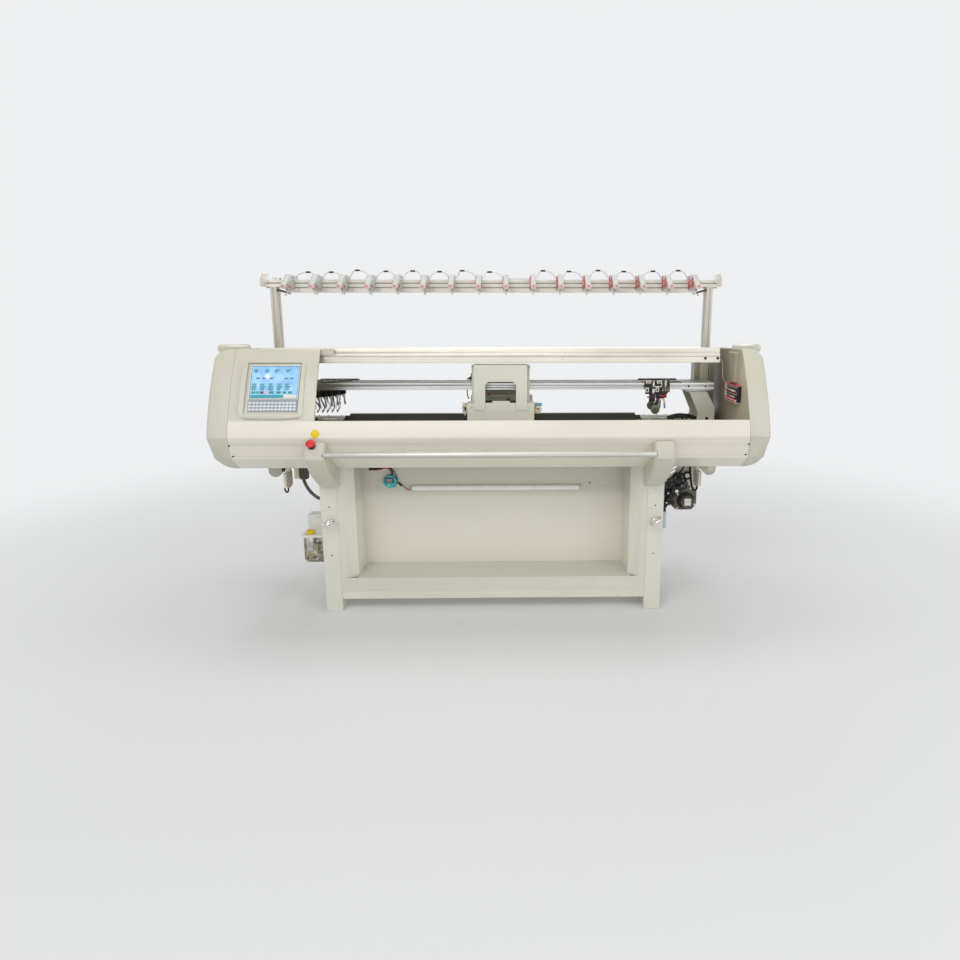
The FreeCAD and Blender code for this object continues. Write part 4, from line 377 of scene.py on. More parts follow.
class Piece:
    """One mesh in the making, in millimetres; every part laid into it has its own finish."""

    def __init__(self, name, *finishes, on=None):
        self.name = name
        self.finishes = finishes
        self.whole = bmesh.new()
        self.on = on

    def lay(self, part, finish=0):
        """Lay a shaped part into the piece with one of its finishes."""
        for face in part.faces:
            face.material_index = finish
        if self.on:
            bmesh.ops.transform(part, matrix=self.on, verts=part.verts)
        carrier = bpy.data.meshes.new("part")
        part.to_mesh(carrier)
        part.free()
        self.whole.from_mesh(carrier)
        bpy.data.meshes.remove(carrier)

    def block(self, low, high, edge=0.8, finish=0, turn=None, steps=2):
        """A rectangular part between two corners, turned about its own middle."""
        low, high = Vector(low), Vector(high)
        size = high - low
        part = bmesh.new()
        bmesh.ops.create_cube(part, size=1.0)
        bmesh.ops.scale(part, vec=size, verts=part.verts)
        broken_edges(part, part.edges[:], min(edge, 0.45 * min(size)), steps)
        if turn:
            spin = Matrix.Rotation(math.radians(turn[1]), 3, turn[0])
            bmesh.ops.rotate(part, cent=(0, 0, 0), matrix=spin, verts=part.verts)
        bmesh.ops.translate(part, vec=(low + high) / 2, verts=part.verts)
        self.lay(part, finish)

    def rod(self, start, end, radius, finish=0, edge=0.5, sides=ROUND, far_radius=None):
        """A round bar, or a cone, between two points."""
        start, end = Vector(start), Vector(end)
        along = end - start
        part = bmesh.new()
        far = radius if far_radius is None else far_radius
        bmesh.ops.create_cone(part, cap_ends=True, segments=sides, radius1=radius, radius2=far,
                              depth=along.length)
        rims = [one for one in part.edges if abs(one.verts[0].co.z - one.verts[1].co.z) < 1e-5]
        broken_edges(part, rims, min(edge, 0.4 * min(radius, far), 0.4 * along.length), 2)
        turned_to(part, along, (start + end) / 2)
        self.lay(part, finish)

    def blocks(self, *rows):
        """Rectangular parts; a row holds two corners, the edge and the finish."""
        for row in rows:
            self.block(*row)

    def rods(self, *rows):
        """Round bars; a row holds two ends, the radius, the finish, the edge and the sides."""
        for row in rows:
            self.rod(*row)

    def pins(self, *rows):
        """Round bars from front to back; a row holds x, z, front, back, then as a rod's."""
        for x, z, front, back, *rest in rows:
            self.rod((x, front, z), (x, back, z), *rest)

    def lathe(self, profile, centre, axis, finish=0, sides=ROUND):
        """A turned part; profile holds (radius, height along the axis) from pole to pole."""
        part = bmesh.new()
        corners = [part.verts.new((radius, 0, height)) for radius, height in profile]
        for first, second in zip(corners, corners[1:]):
            part.edges.new((first, second))
        bmesh.ops.spin(part, geom=part.verts[:] + part.edges[:], cent=(0, 0, 0), axis=(0, 0, 1),
                       angle=2 * math.pi, steps=sides, use_merge=True)
        bmesh.ops.remove_doubles(part, verts=part.verts, dist=1e-4)
        bmesh.ops.recalc_face_normals(part, faces=part.faces)
        turned_to(part, axis, centre)
        self.lay(part, finish)

    def slab(self, corners, axis, low, high, edge=0.8, finish=0, steps=2, shear=None):
        """A flat outline, drawn in the plane across an axis and given its depth along it."""
        first_axis, second_axis, depth_axis = PLANES[axis]
        part = bmesh.new()
        made = []
        for first, second in corners:
            at = [0.0, 0.0, 0.0]
            at[first_axis], at[second_axis], at[depth_axis] = first, second, low
            made.append(part.verts.new(at))
        face = part.faces.new(made)
        grown = bmesh.ops.extrude_face_region(part, geom=[face])["geom"]
        moved = [one for one in grown if isinstance(one, bmesh.types.BMVert)]
        bmesh.ops.translate(part, vec=AXES[axis] * (high - low), verts=moved)
        bmesh.ops.recalc_face_normals(part, faces=part.faces)
        broken_edges(part, part.edges[:], min(edge, 0.4 * abs(high - low)), steps)
        if shear:
            bmesh.ops.transform(part, matrix=shear, verts=part.verts)
        self.lay(part, finish)

    def washer(self, centre, axis, radius, thick, finish=0, sides=20, foot=None):
        """A thin round plate, with a wider foot where one is given."""
        self.lathe([(0, thick), (radius, thick), (foot or radius, 0), (0, 0)], centre, axis, finish, sides)

    def ring(self, centre, axis, radius, wire, finish=0, around=36, sides=12):
        """A closed round ring."""
        part = bmesh.new()
        bmesh.ops.create_circle(part, segments=sides, radius=wire)
        quarter = Matrix.Rotation(math.pi / 2, 3, "X")
        bmesh.ops.rotate(part, cent=(0, 0, 0), matrix=quarter, verts=part.verts)
        bmesh.ops.translate(part, vec=(radius, 0, 0), verts=part.verts)
        bmesh.ops.spin(part, geom=part.verts[:] + part.edges[:], cent=(0, 0, 0), axis=(0, 0, 1),
                       angle=2 * math.pi, steps=around, use_merge=True)
        bmesh.ops.remove_doubles(part, verts=part.verts, dist=1e-4)
        bmesh.ops.recalc_face_normals(part, faces=part.faces)
        turned_to(part, axis, centre)
        self.lay(part, finish)

    def screw(self, centre, axis, radius, finish=0, tall=None):
        """A button-head screw with a socket in it."""
        rise = tall or 0.6 * radius
        inner = 0.42 * radius
        profile = [(0, 0.3 * rise), (inner, 0.3 * rise), (inner, rise), (0.62 * radius, rise),
                   (0.9 * radius, 0.6 * rise), (radius, 0), (0, 0)]
        self.lathe(profile, centre, axis, finish, 16)

    def wire(self, points, radius, finish=0):
        """A bent round bar on one smooth line through the route's points."""
        line = line_of("bent", [Vector(point) for point in points], radius)
        holder = bpy.data.objects.new("bent", line)
        bpy.context.scene.collection.objects.link(holder)
        bpy.context.view_layer.update()
        seen = bpy.context.evaluated_depsgraph_get()
        shape = bpy.data.meshes.new_from_object(holder.evaluated_get(seen))
        part = bmesh.new()
        part.from_mesh(shape)
        bmesh.ops.remove_doubles(part, verts=part.verts, dist=1e-4)
        bpy.data.objects.remove(holder)
        bpy.data.meshes.remove(shape)
        self.lay(part, finish)

    def done(self, like, instead=False, body=None):
        """The finished piece, brought to metres: it rides like a CAD node, or takes its place."""
        bmesh.ops.scale(self.whole, vec=(MM, MM, MM), verts=self.whole.verts)
        mesh = bpy.data.meshes.new(self.name)
        self.whole.to_mesh(mesh)
        self.whole.free()
        return dress(mesh, self.name, self.finishes, like, instead, body)


def dress(mesh, name, finishes, like, instead=False, body=None):
    """Put a mesh on the stage, with the body of the CAD node that it is like."""
    for one in finishes:
        mesh.materials.append(one)
    mesh.polygons.foreach_set("use_smooth", [True] * len(mesh.polygons))
    mesh.set_sharp_from_angle(angle=SOFT_ANGLE)
    made = bpy.data.objects.new(name, mesh)
    bpy.context.scene.collection.objects.link(made)
    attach(made, body or BODY_OF[like])
    if instead:
        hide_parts(like)
    return made


def line_of(name, points, radius=0.0):
    """A smooth open line with the points as its control points."""
    line = bpy.data.curves.new(name, "CURVE")
    line.dimensions = "3D"
    spline = line.splines.new("NURBS")
    spline.points.add(len(points) - 1)
    for spot, point in zip(spline.points, points):
        spot.co = (*point, 1.0)
    spline.order_u = 3
    spline.use_endpoint_u = True
    spline.resolution_u = 12
    line.bevel_depth = radius
    line.bevel_resolution = 3
    line.use_fill_caps = True
    return line


def flexible(name, finish, points, diameter, body="machine", stands_for=()):
    """A cord: its route in millimetres and its real diameter in millimetres."""
    route = [Vector(point) * MM for point in points]
    line = line_of(name, route, diameter / 2 * MM)
    line.materials.append(finish)
    made = bpy.data.objects.new(name, line)
    bpy.context.scene.collection.objects.link(made)
    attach(made, body)
    if stands_for:
        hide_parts(*stands_for)
    return made


def refined(node, finish, edge):
    """A CAD piece again, merged and with its edges rounded as the real one's are."""
    part = bmesh.new()
    part.from_mesh(NODES[node].data)
    bmesh.ops.remove_doubles(part, verts=part.verts, dist=2e-5)
    bmesh.ops.dissolve_limit(part, angle_limit=math.radians(0.8), verts=part.verts, edges=part.edges)
    mesh = bpy.data.meshes.new(node + "_shell")
    part.to_mesh(mesh)
    part.free()
    made = dress(mesh, node + "_shell", [finish], node, True)
    rounding = made.modifiers.new("edges", "BEVEL")
    rounding.width = edge
    rounding.segments = 2
    rounding.limit_method = "ANGLE"
    rounding.angle_limit = SOFT_ANGLE
    rounding.harden_normals = True
    rounding.material = -1
    return made


def refinished(node, finish):
    """A CAD piece that keeps its shape and gets its finish."""
    slots = NODES[node].data.materials
    slots.clear()
    slots.append(finish)


# ---------------------------------------------------------------- camera
IMAGE = 960
FOCAL = 694
SENSOR = 36.0
PRINCIPAL = (527, 460)
CAMERA_AT = (0.096, -3.300, 1.405)
PITCH = 12.2
YAW = 1.15


def camera():
    """The photograph's own viewpoint; the small shift stands for its off-centre crop."""
    lens = bpy.data.cameras.new("camera")
    lens.sensor_width = SENSOR
    lens.lens = SENSOR * FOCAL / IMAGE
    lens.shift_x = (IMAGE / 2 - PRINCIPAL[0]) / IMAGE
    lens.shift_y = (PRINCIPAL[1] - IMAGE / 2) / IMAGE
    lens.clip_end = 100
    made = bpy.data.objects.new("camera", lens)
    made.location = CAMERA_AT
    made.rotation_euler = (math.radians(90 - PITCH), 0, math.radians(-YAW))
    bpy.context.scene.collection.objects.link(made)
    bpy.context.scene.camera = made


camera()


# ---------------------------------------------------------------- cords
UNIT_PITCH = 129.0
UNITS = 16
UNIT_EXIT = 12.2
LEAD_FOOT = 1558
LEAD_RISE = 30
LEAD_SHAPES = [(0.85, 0.62), (0.85, 0.45), (1.15, 0.42), (1.0, 0.5), (1.05, 0.5), (0.95, 0.5), (1.1, 0.32),
               (0.9, 0.35), (0.0, 0.5), (1.1, 0.36), (1.0, 0.34), (1.15, 0.46), (1.0, 0.42), (1.05, 0.55),
               (1.15, 0.5)]
LEAD_LENGTHS = (123.7, 122.7, 134.5, 128.0, 130.0, 126.2, 135.4, 126.2, 104.6, 133.8, 130.5,
                134.1, 128.5, 130.2, 134.0)
LEAD_WIDE = 5.2
LEAD_Y = 186
SLEEVE_HALF, SLEEVE_RADIUS = 11, 4.2


def unit_x(index):
    return (index - (UNITS - 1) / 2) * UNIT_PITCH


def lead_route(start, end, share, lean):
    """A jumper lead's route: level out of one unit, over its crest and level into the next."""
    gap = end - start
    crest, rise = start + lean * gap, share * LEAD_RISE
    corners = [(start, 0), (start + 9, 0), (start + 0.17 * gap, 0.65 * rise),
               (crest - 0.14 * gap, 0.98 * rise), (crest + 0.14 * gap, rise),
               (end - 0.17 * gap, 0.65 * rise), (end - 9, 0), (end, 0)]
    if share == 0:
        corners = [(start, -4.8), (start + 0.3 * gap, -4.8), (end - 0.3 * gap, -4.8), (end, -4.8)]
    return [(x, LEAD_Y, LEAD_FOOT + z) for x, z in corners]


def jumper_leads():
    """White leads that hop from one tension unit to the next, each with a black splice sleeve."""
    for index, ((share, lean), length) in enumerate(zip(LEAD_SHAPES, LEAD_LENGTHS)):
        start, end = unit_x(index) + UNIT_EXIT, unit_x(index + 1) - UNIT_EXIT
        if share:
            at, high = start + lean * (end - start), LEAD_FOOT + 0.99 * share * LEAD_RISE
            sleeve = Piece("lead_sleeve_%d" % (index + 1), BLACK_PLASTIC)
            sleeve.rod((at - SLEEVE_HALF, LEAD_Y, high), (at + SLEEVE_HALF, LEAD_Y, high), SLEEVE_RADIUS,
                       sides=14)
            sleeve.done("cable_looms")
        flexible("jumper_lead_%d" % (index + 1), WHITE_LEAD, lead_route(start, end, share, lean), LEAD_WIDE,
                 stands_for=["jumper_leads"])


CASING_FLOOR = 705.8
OIL_ROUTE = [(-915, -60, 705.7), (-915, -60, 672), (-906, -70, 622), (-882, -84, 574), (-846, -96, 540),
             (-818, -100, 528), (-795.3, -100, 528)]
LEFT_ROUTE = [(-970, -60, 705.7), (-970, -60, 665), (-978, -80, 620), (-984, -104, 580), (-976, -114.5, 568),
              (-963, -129.5, 568), (-954, -140, 583), (-954, -140, 600.7)]
RIGHT_ROUTE = [(941, -74, 705.7), (941, -74, 668), (943, -88, 626), (945, -104, 590), (948, -114, 574),
               (955, -130, 568), (963, -140, 580), (963, -140, 600.7)]
PLATE_ROUTE = [(905, -110, 705.7), (905, -110, 686), (896, -104, 660), (872, -96, 634), (849, -92, 617),
               (836, -80, 606), (836, -60.3, 606)]


CABLES = [
    ("oil_hose", HOSE, OIL_ROUTE, 16, 243.1, "medium"),
    ("left_cable", RUBBER, LEFT_ROUTE, 8, 208.3, "limp"),
    ("right_cable", RUBBER, RIGHT_ROUTE, 10, 192.8, "limp"),
    ("plate_cable", RUBBER, PLATE_ROUTE, 8, 150.1, "limp"),
]
COLLARS = [(OIL_ROUTE, 12), (LEFT_ROUTE, 8), (RIGHT_ROUTE, 9), (PLATE_ROUTE, 8)]


def cable_looms():
    for name, finish, route, diameter, length, stiffness in CABLES:
        flexible(name, finish, route, diameter, stands_for=["cable_looms"])
    collars = Piece("cable_collars", BLACK_PLASTIC)
    for route, radius in COLLARS:
        x, y, _ = route[0]
        collars.rod((x, y, 690), (x, y, CASING_FLOOR), radius, edge=1.5)
    collars.rod((-795.2, -100, 528), (-803, -100, 528), 12, edge=1.5)
    collars.done("cable_looms")


jumper_leads()
cable_looms()


# ---------------------------------------------------------------- control housing
SCREEN_LEFT = -1029
SCREEN_LOW, SCREEN_HIGH = (-334, 1036), (-262, 1168)
SCREEN_WIDE, SCREEN_TALL = 204.0, 150.4
KEYPAD_LOW, KEYPAD_HIGH = (-361, 985), (-339, 1027)


def frame_of_bars(piece, left, right, low, high, width, out_low, out_high, finish):
    """Four bars round an opening, in the piece's own plane."""
    piece.block((left - width, low - width, out_low), (right + width, low, out_high), 1.2, finish)
    piece.block((left - width, high, out_low), (right + width, high + width, out_high), 1.2, finish)
    piece.block((left - width, low, out_low), (left, high, out_high), 1.2, finish)
    piece.block((right, low, out_low), (right + width, high, out_high), 1.2, finish)


def screen_bezel():
    """The pale frame, with a thin black frame round the display that is painted shadow: the shadow at the
    screen's edge.
    """
    on = Matrix.Translation((SCREEN_LEFT, 0, 0)) @ slope_frame(SCREEN_LOW, SCREEN_HIGH)
    bezel = Piece("screen_bezel", WHITE_PLASTIC, BLACK_PLASTIC, on=on)
    # painted shadow: a thin black frame stands for the shadow round the screen's edge
    frame_of_bars(bezel, 1.4, SCREEN_WIDE - 1.4, 1.4, SCREEN_TALL - 1.4, 1.2, -1.0, 0.9, 1)
    frame_of_bars(bezel, 0.2, SCREEN_WIDE - 0.2, 0.2, SCREEN_TALL - 0.2, 4.6, -2.0, 2.0, 0)
    bezel.done("lubricator_box")


def dashes(piece, left, right, low, high, finish, size=(2.2, 5.0)):
    """A line of small strokes, none of them a letter."""
    at = left
    while at < right - size[0]:
        wide = CHANCE.uniform(*size)
        piece.block((at, low, 0.05), (min(at + wide, right), high, 0.3), 0, finish)
        at += wide + CHANCE.uniform(0.4, 1.3)


MARK_ROWS = [
    (0.895, 0.925, 0, [(0.02, 0.12), (0.27, 0.375), (0.48, 0.59), (0.735, 0.845)]),
    (0.855, 0.885, 0, [(0.02, 0.11), (0.27, 0.36), (0.48, 0.57), (0.735, 0.82)]),
    (0.820, 0.845, 0, [(0.02, 0.09), (0.27, 0.33), (0.48, 0.55), (0.735, 0.80)]),
    (0.605, 0.650, 1, [(0.09, 0.16), (0.22, 0.29), (0.39, 0.46), (0.71, 0.78), (0.85, 0.91)]),
    (0.420, 0.455, 0, [(0.01, 0.11), (0.19, 0.30), (0.38, 0.48), (0.56, 0.67), (0.74, 0.85)]),
    (0.388, 0.412, 0, [(0.01, 0.09), (0.19, 0.27), (0.38, 0.46), (0.56, 0.64), (0.74, 0.82)]),
    (0.315, 0.370, 0, [(0.01, 0.11), (0.19, 0.30), (0.38, 0.48), (0.56, 0.67), (0.74, 0.85)]),
    (0.235, 0.295, 0, [(0.01, 0.11), (0.19, 0.28), (0.38, 0.48), (0.56, 0.66), (0.74, 0.83)]),
]
MARK_KEYS = [(0.01, 0.1, 0), (0.12, 0.18, 0), (0.2, 0.28, 1), (0.3, 0.38, 2), (0.4, 0.5, 0), (0.56, 0.66, 0),
             (0.7, 0.78, 0), (0.82, 0.9, 0)]
MARK_DOTS = [(0.155, 0.9), (0.42, 0.895), (0.63, 0.9), (0.9, 0.62), (0.52, 0.5), (0.9, 0.44)]
MARK_DOT = 2.2


def screen_marks():
    """The lines of small coloured marks on the display, as blocks of strokes without lettering."""
    on = Matrix.Translation((SCREEN_LEFT, 0, 0)) @ slope_frame(SCREEN_LOW, SCREEN_HIGH)
    marks = Piece("screen_marks", MARK_TEAL, MARK_NAVY, MARK_PINK, MARK_BAR, LEVER_RED, KEY_PALE, on=on)
    wide, tall, left, foot = SCREEN_WIDE - 12, SCREEN_TALL - 10, 6, 5
    for low, high, finish, spans in MARK_ROWS:
        for start, end in spans:
            dashes(marks, left + start * wide, left + end * wide, foot + low * tall, foot + high * tall,
                   finish)
    for start, end, finish in MARK_KEYS:
        marks.block((left + start * wide, foot + 0.125 * tall, 0.05),
                    (left + end * wide, foot + 0.2 * tall, 0.3), 0, finish)
    marks.block((left, 3.5, 0.05), (left + 0.72 * wide, foot + 0.085 * tall, 0.3), 0, 3)
    marks.block((left + 0.73 * wide, 3.5, 0.05), (left + wide, foot + 0.085 * tall, 0.3), 0, 5)
    for u, v in MARK_DOTS:
        x, z = left + u * wide, foot + v * tall
        marks.block((x, z, 0.05), (x + MARK_DOT, z + MARK_DOT, 0.3), 0, 4)
    marks.done("screen")


def keypad_keys():
    """The membrane keypad: rows of pale keys on their grey-blue sheet."""
    columns, rows, pitch, rise = 13, 3, 15.75, 14.6
    wide, tall = 12.2, 9.6
    on = Matrix.Translation((SCREEN_LEFT - 2, 0, 0)) @ slope_frame(KEYPAD_LOW, KEYPAD_HIGH)
    keys = Piece("keypad_keys", KEY_PALE, on=on)
    for column in range(columns):
        for row in range(rows):
            left, low = 2.6 + column * pitch, 3.0 + row * rise
            keys.block((left, low, -0.4), (left + wide, low + tall, 2.2), 1.0, 0)
    keys.done("keypad")


def rim_bow():
    """The bowed lower lip of the rim round the screen and the keypad."""
    left, right, low, front = -1050.0, -812.0, 960.0, -384.5
    deep, drop, steps = 9, 7, 24
    bow = [(left, low + 3)]
    for step in range(steps + 1):
        share = step / steps
        bow.append((left + share * (right - left), low - drop * math.sin(math.pi * share)))
    bow.append((right, low + 3))
    lip = Piece("rim_bow", SHELL)
    lip.slab(bow, "Y", front, front + deep, 1.0)
    lip.done("control_housing")


# ---------------------------------------------------------------- front panel
def panel_marks():
    """A plain round yellow disc, and the dark screws in the panel's two grooves."""
    slope = math.radians(18.1)
    disc = Piece("yellow_disc", DISC_YELLOW)
    disc.washer((-741, -396.9, 893), (0, -math.cos(slope), math.sin(slope)), 16.8, 0.8, 0, 40, 18)
    disc.done("front_panel")
    screws = Piece("panel_screws", BLACK_OXIDE)
    for side in (-1, 1):
        for y, z in ((-379.8, 840), (-347.2, 787)):
            screws.screw((side * 1112, y - 0.4, z), (0, -0.852, -0.524), 4.2)
    screws.done("front_panel")


# ---------------------------------------------------------------- operating bar, stop button, eye bolts
def operating_bar():
    """The start bar: a plain satin alloy tube with a thin dark ring at each end."""
    half, y, z, radius, ring_at, ring_wide = 709.8, -424, 806, 13, 704, 3
    bar = Piece("operating_bar_tube", BAR_ALLOY, BLACK_PLASTIC)
    bar.rod((-half, y, z), (half, y, z), radius, 0, 1.5, 40)
    for side in (-1, 1):
        bar.rod((side * ring_at, y, z), (side * (ring_at + ring_wide), y, z), radius + 0.4, 1, 0.4, 36)
    bar.done("operating_bar", instead=True)


def stop_button():
    """A mushroom push button on a black ribbed base."""
    head = Piece("stop_mushroom", STOP_RED, BLACK_PLASTIC)
    profile = [(0, 27.3), (10, 27.0), (16, 25.6), (19.2, 23.2), (20, 20.6), (18.6, 17.6), (15.5, 15.6),
               (8, 15.4), (8, -3.6), (0, -3.6)]
    head.lathe(profile, (-752, -418.7, 844.2), (0, -0.7199, 0.6941), 0, 40)
    head.done("stop_button", instead=True)


# ---------------------------------------------------------------- needle beds
BED_END = 681.0
NEEDLE_PITCH = 4.0
WALL_WIDE = 1.3
BUTT_AT, BUTT_LONG, BUTT_STAGGER = 96, 7, 3
STEPS = 6


def needle_ribs(name, low, high, facing, like, ragged):
    """The milled needle walls of one bed with the needles' butts between them, and stepped ends."""
    ribs = Piece(name, BED, NEEDLE, on=slope_frame(low, high, facing))
    for index in range(int(2 * BED_END / NEEDLE_PITCH)):
        x = -BED_END + 2.5 + index * NEEDLE_PITCH
        butt = BUTT_AT + BUTT_STAGGER * (index % 2)
        ribs.blocks(((x, 8, 0), (x + WALL_WIDE, 150, 2.2), 0, 0),
                    ((x + 1.9, butt, 0), (x + 3.2, butt + BUTT_LONG, 2.6), 0, 1),
                    ((x + 2.2, 146, 0.4), (x + 3.0, 156, 1.6), 0, 1))
    for side in (-1, 1):
        for step in range(STEPS):
            reach = CHANCE.uniform(2, ragged)
            start = 20 + step * 21
            near, far = sided(side, BED_END - 4, BED_END + reach)
            ribs.block((near, start, -12), (far, start + 16, 0.6 + 0.2 * (step % 3)), 0.8, 0)
    ribs.done(like)


# ---------------------------------------------------------------- carriage
def brush_disc(piece, x, z, radius, cap, cap_finish):
    """A yarn brush's cream disc with its clamp and coloured cap."""
    left, right, low, high = cap
    piece.pins((x, z, -178.5, -172.5, radius, 0, 1.2, 30), (x, z, -180.2, -178, 0.55 * radius, 0, 0.8, 24),
               (x, z + 0.15 * radius, -181.4, -179, 0.26 * radius, 1, 0.4, 16))
    piece.block((left, -180, low), (right, -173, high), 1.5, cap_finish)
    for outer, inner, front, foot, head, finish in ((0.8, 0.45, -181, 0.2, 0.5, 2),
                                                    (0.9, 0.6, -180.6, -0.5, -0.3, 3)):
        piece.block((x - outer * radius, front, z + foot * radius),
                    (x - inner * radius, -178, z + head * radius), 0.6, finish)
    piece.screw((x + 0.2 * radius, -178.6, z - 0.66 * radius), (0, -1, 0), 2.6, 4)


def carriage_brushes():
    """The cream brush discs at both ends of the front cam box."""
    discs = Piece("carriage_brushes", IVORY_PLASTIC, BLACK_PLASTIC, LEVER_RED, CAP_YELLOW, ZINC, CAP_BLUE,
                  GREY_PLASTIC)
    brush_disc(discs, -121, 972, 14.6, (-131, -114, 985, 994), 6)
    discs.blocks(((-125, -181.4, 962), (-117, -179, 978), 1.5, 1),
                 ((-126, -177, 938), (-119, -172, 950), 1.2, 6))
    brush_disc(discs, 209, 964, 17, (196, 226, 980, 994), 5)
    discs.done("carriage_front_box")


def carriage_trim():
    """What shows in and round the carriage's window: clamps, latch, inner plate, screws and tabs."""
    trim = Piece("carriage_trim", CARRIAGE, BLACK_PLASTIC, ZINC, CASTING, LEVER_RED, CAP_YELLOW, BLACK_OXIDE)
    for left, right in ((-29, 4), (79, 108)):
        trim.blocks(((left, -150, 994), (right, -140, 1001), 0.8, 1),
                    ((left, -165, 994), (right, -150, 998), 0.8, 6))
    trim.blocks(
        ((2, -189, 994), (81, -186, 1004), 1.0, 0), ((4, -165, 994), (79, -120, 997), 0.8, 3),
        ((-36, 104, 996), (116, 108, 1052), 1.2, 3), ((-18, 100, 1010), (98, 104, 1014), 0.8, 3),
        ((-18, 100, 1030), (98, 104, 1033), 0.8, 3), ((-27, 98, 996), (-15, 104, 1003), 0.8, 4),
        ((-14, 98, 996), (-8, 104, 1001), 0.8, 5), ((66, -140, 994), (84, -128, 1008), 1.0, 1),
        ((-111.4, -190.6, 942.2), (191.4, -189.4, 943.8), 0.3, 0),
        ((161, -40, 1133), (173.5, 20, 1147), 1.5, 2), ((-60, 190, 900), (140, 191.5, 930), 0.8, 3))
    front, right, rear = (0, -1, 0), (1, 0, 0), (0, 1, 0)
    for centre, axis, radius, finish in (
            ((-24, 104, 1008), front, 4.0, 2), ((-24, 104, 1040), front, 4.0, 2),
            ((104, 104, 1008), front, 4.0, 2), ((104, 104, 1040), front, 4.0, 2),
            ((173, -25, 1140), right, 5.0, 6), ((173, 5, 1140), right, 5.0, 6),
            ((-92, -190.1, 975), front, 3.4, 2), ((172, -190.1, 975), front, 3.4, 2),
            ((-68, -194.1, 1148), front, 2.6, 3), ((149, -194.1, 1148), front, 2.6, 3),
            ((-80, 190.1, 955), rear, 4.0, 2), ((0, 190.1, 955), rear, 4.0, 2),
            ((80, 190.1, 955), rear, 4.0, 2), ((160, 190.1, 955), rear, 4.0, 2)):
        trim.screw(centre, axis, radius, finish)
    for x in (-60, 141):
        for y in (-150, 120):
            trim.rod((x, y, 1165.6), (x, y, 1168), 4.5, 2, 0.8, 18)
    trim.done("carriage_cover")


CARRIAGE_LEAD_WIDE, CARRIAGE_LEAD_LENGTH = 5, 87.7


def carriage_wire():
    """The sensor lead that hangs from the bridge to the left brush."""
    tilt = ("Y", -28)
    plug = Piece("carriage_plug", BLACK_PLASTIC, WHITE_PLASTIC)
    plug.blocks(((-128, 118, 1060), (-96.5, 140, 1084), 3.0, 0, tilt),
                ((-130, 116, 1062), (-117, 124, 1074), 2.0, 1, tilt),
                ((-112, 132, 1030), (-98, 156, 1100), 1.0, 0))
    plug_made = plug.done("cable_looms", body="carriage")
    route = [(-122, 130, 1060), (-125, 129, 1040), (-130, 127, 1020), (-131, 125, 1000), (-127, 124, 985),
             (-121.5, 124, 975)]
    flexible("carriage_lead", RUBBER, route, CARRIAGE_LEAD_WIDE, body="carriage")


# ---------------------------------------------------------------- yarn carriers
CARRIER_AT = {1: 786, 2: -852, 3: -830, 4: -808, 5: -786, 6: -764, 7: 796, 8: -742}
WITH_DISC = (1, 2, 3, 7)
SPACED = (1, 7)
BLOCK_LOW, PLATE_LOW, PLATE_HIGH = 1002.0, 1074.3, 1079.3
RAIL_PITCH, LANE_OUT, TIP_PITCH = 50, 13.3, 4
FEEDER = [(-7, 1006), (-7, 985), (2, 962), (5, 950), (-6, 926.3), (-1.4, 926.3), (12, 950), (9, 964),
          (1, 987), (1, 1006)]
BEND_HIGH, BEND_LOW = 992, 950


def rounded_bar(left, right, low, high, steps=6):
    """The outline of a bar with half-round ends."""
    radius = (high - low) / 2
    middle = (low + high) / 2
    outline = []
    for at, start in ((right - radius, -90), (left + radius, 90)):
        for step in range(steps + 1):
            angle = math.radians(start + 180 * step / steps)
            outline.append((at + radius * math.cos(angle), middle + radius * math.sin(angle)))
    return outline


def carrier_slide(made, at, rail, side, across):
    """The rounded plate that slides on the rail, its dark inlay and screws."""
    near, far = sorted((rail + side * 0.5, across + side * 6))
    made.slab(rounded_bar(at - 95, at + 95, near, far), "Z", PLATE_LOW, PLATE_HIGH, 0.8, 3)
    inlay = rounded_bar(at - 88, at + 88, near + 4, far - 4)
    made.slab(inlay, "Z", PLATE_HIGH - 0.2, PLATE_HIGH + 1, 0.3, 7)
    for x in (at - 80, at - 45, at + 45, at + 80):
        made.screw((x, (near + far) / 2, PLATE_HIGH + 0.8), (0, 0, 1), 3.2, 2)


def carrier_block(made, at, side, across, dense):
    """The dark block below the plate, with stops, and with wiring boxes where it is dense."""
    near, far = across - 6, across + 6
    made.blocks(((at - 29, near, BLOCK_LOW + 22), (at + 29, far, PLATE_LOW + 0.2), 1.2, 0),
                ((at - 26, near + 1, BLOCK_LOW), (at - 2, far - 1, BLOCK_LOW + 24), 1.5, 7),
                ((at + 2, near + 2, BLOCK_LOW + 4), (at + 25, far - 2, BLOCK_LOW + 24), 1.5, 0))
    skirt = [(at - 27, 1030), (at - 14, 1002), (at + 12, 1002), (at + 18, 1014), (at + 16, 1030)]
    made.slab(skirt, "Y", near + 2.5, far - 2.5, 0.8, 0)
    if dense:
        made.blocks(((at - 58, near + 1, 1052), (at + 58, far - 1, PLATE_LOW + 0.2), 1.2, 7),
                    ((at - 40, near + 0.5, 1030), (at + 40, far - 0.5, 1053), 1.2, 0),
                    ((at - 50, near + 2, 1044), (at - 42, far - 2, 1053), 0.8, 2),
                    ((at + 46, near + 2, 1044), (at + 54, far - 2, 1053), 0.8, 2))
    face = across + side * 6
    skin_near, skin_far = sorted((face, face + side * 1.2))
    for left, right, low, high, finish in ((-8, 1, 1030, 1070, 2), (8, 24, 1034, 1040, 2),
                                           (-26, -12, 1052, 1066, 3)):
        made.block((at + left, skin_near, low), (at + right, skin_far, high), 0.4, finish)
    for x, z in ((at - 19, 1042), (at + 16, 1060), (at + 17, 1048)):
        made.screw((x, face, z), (0, side, 0), 3.0, 2)


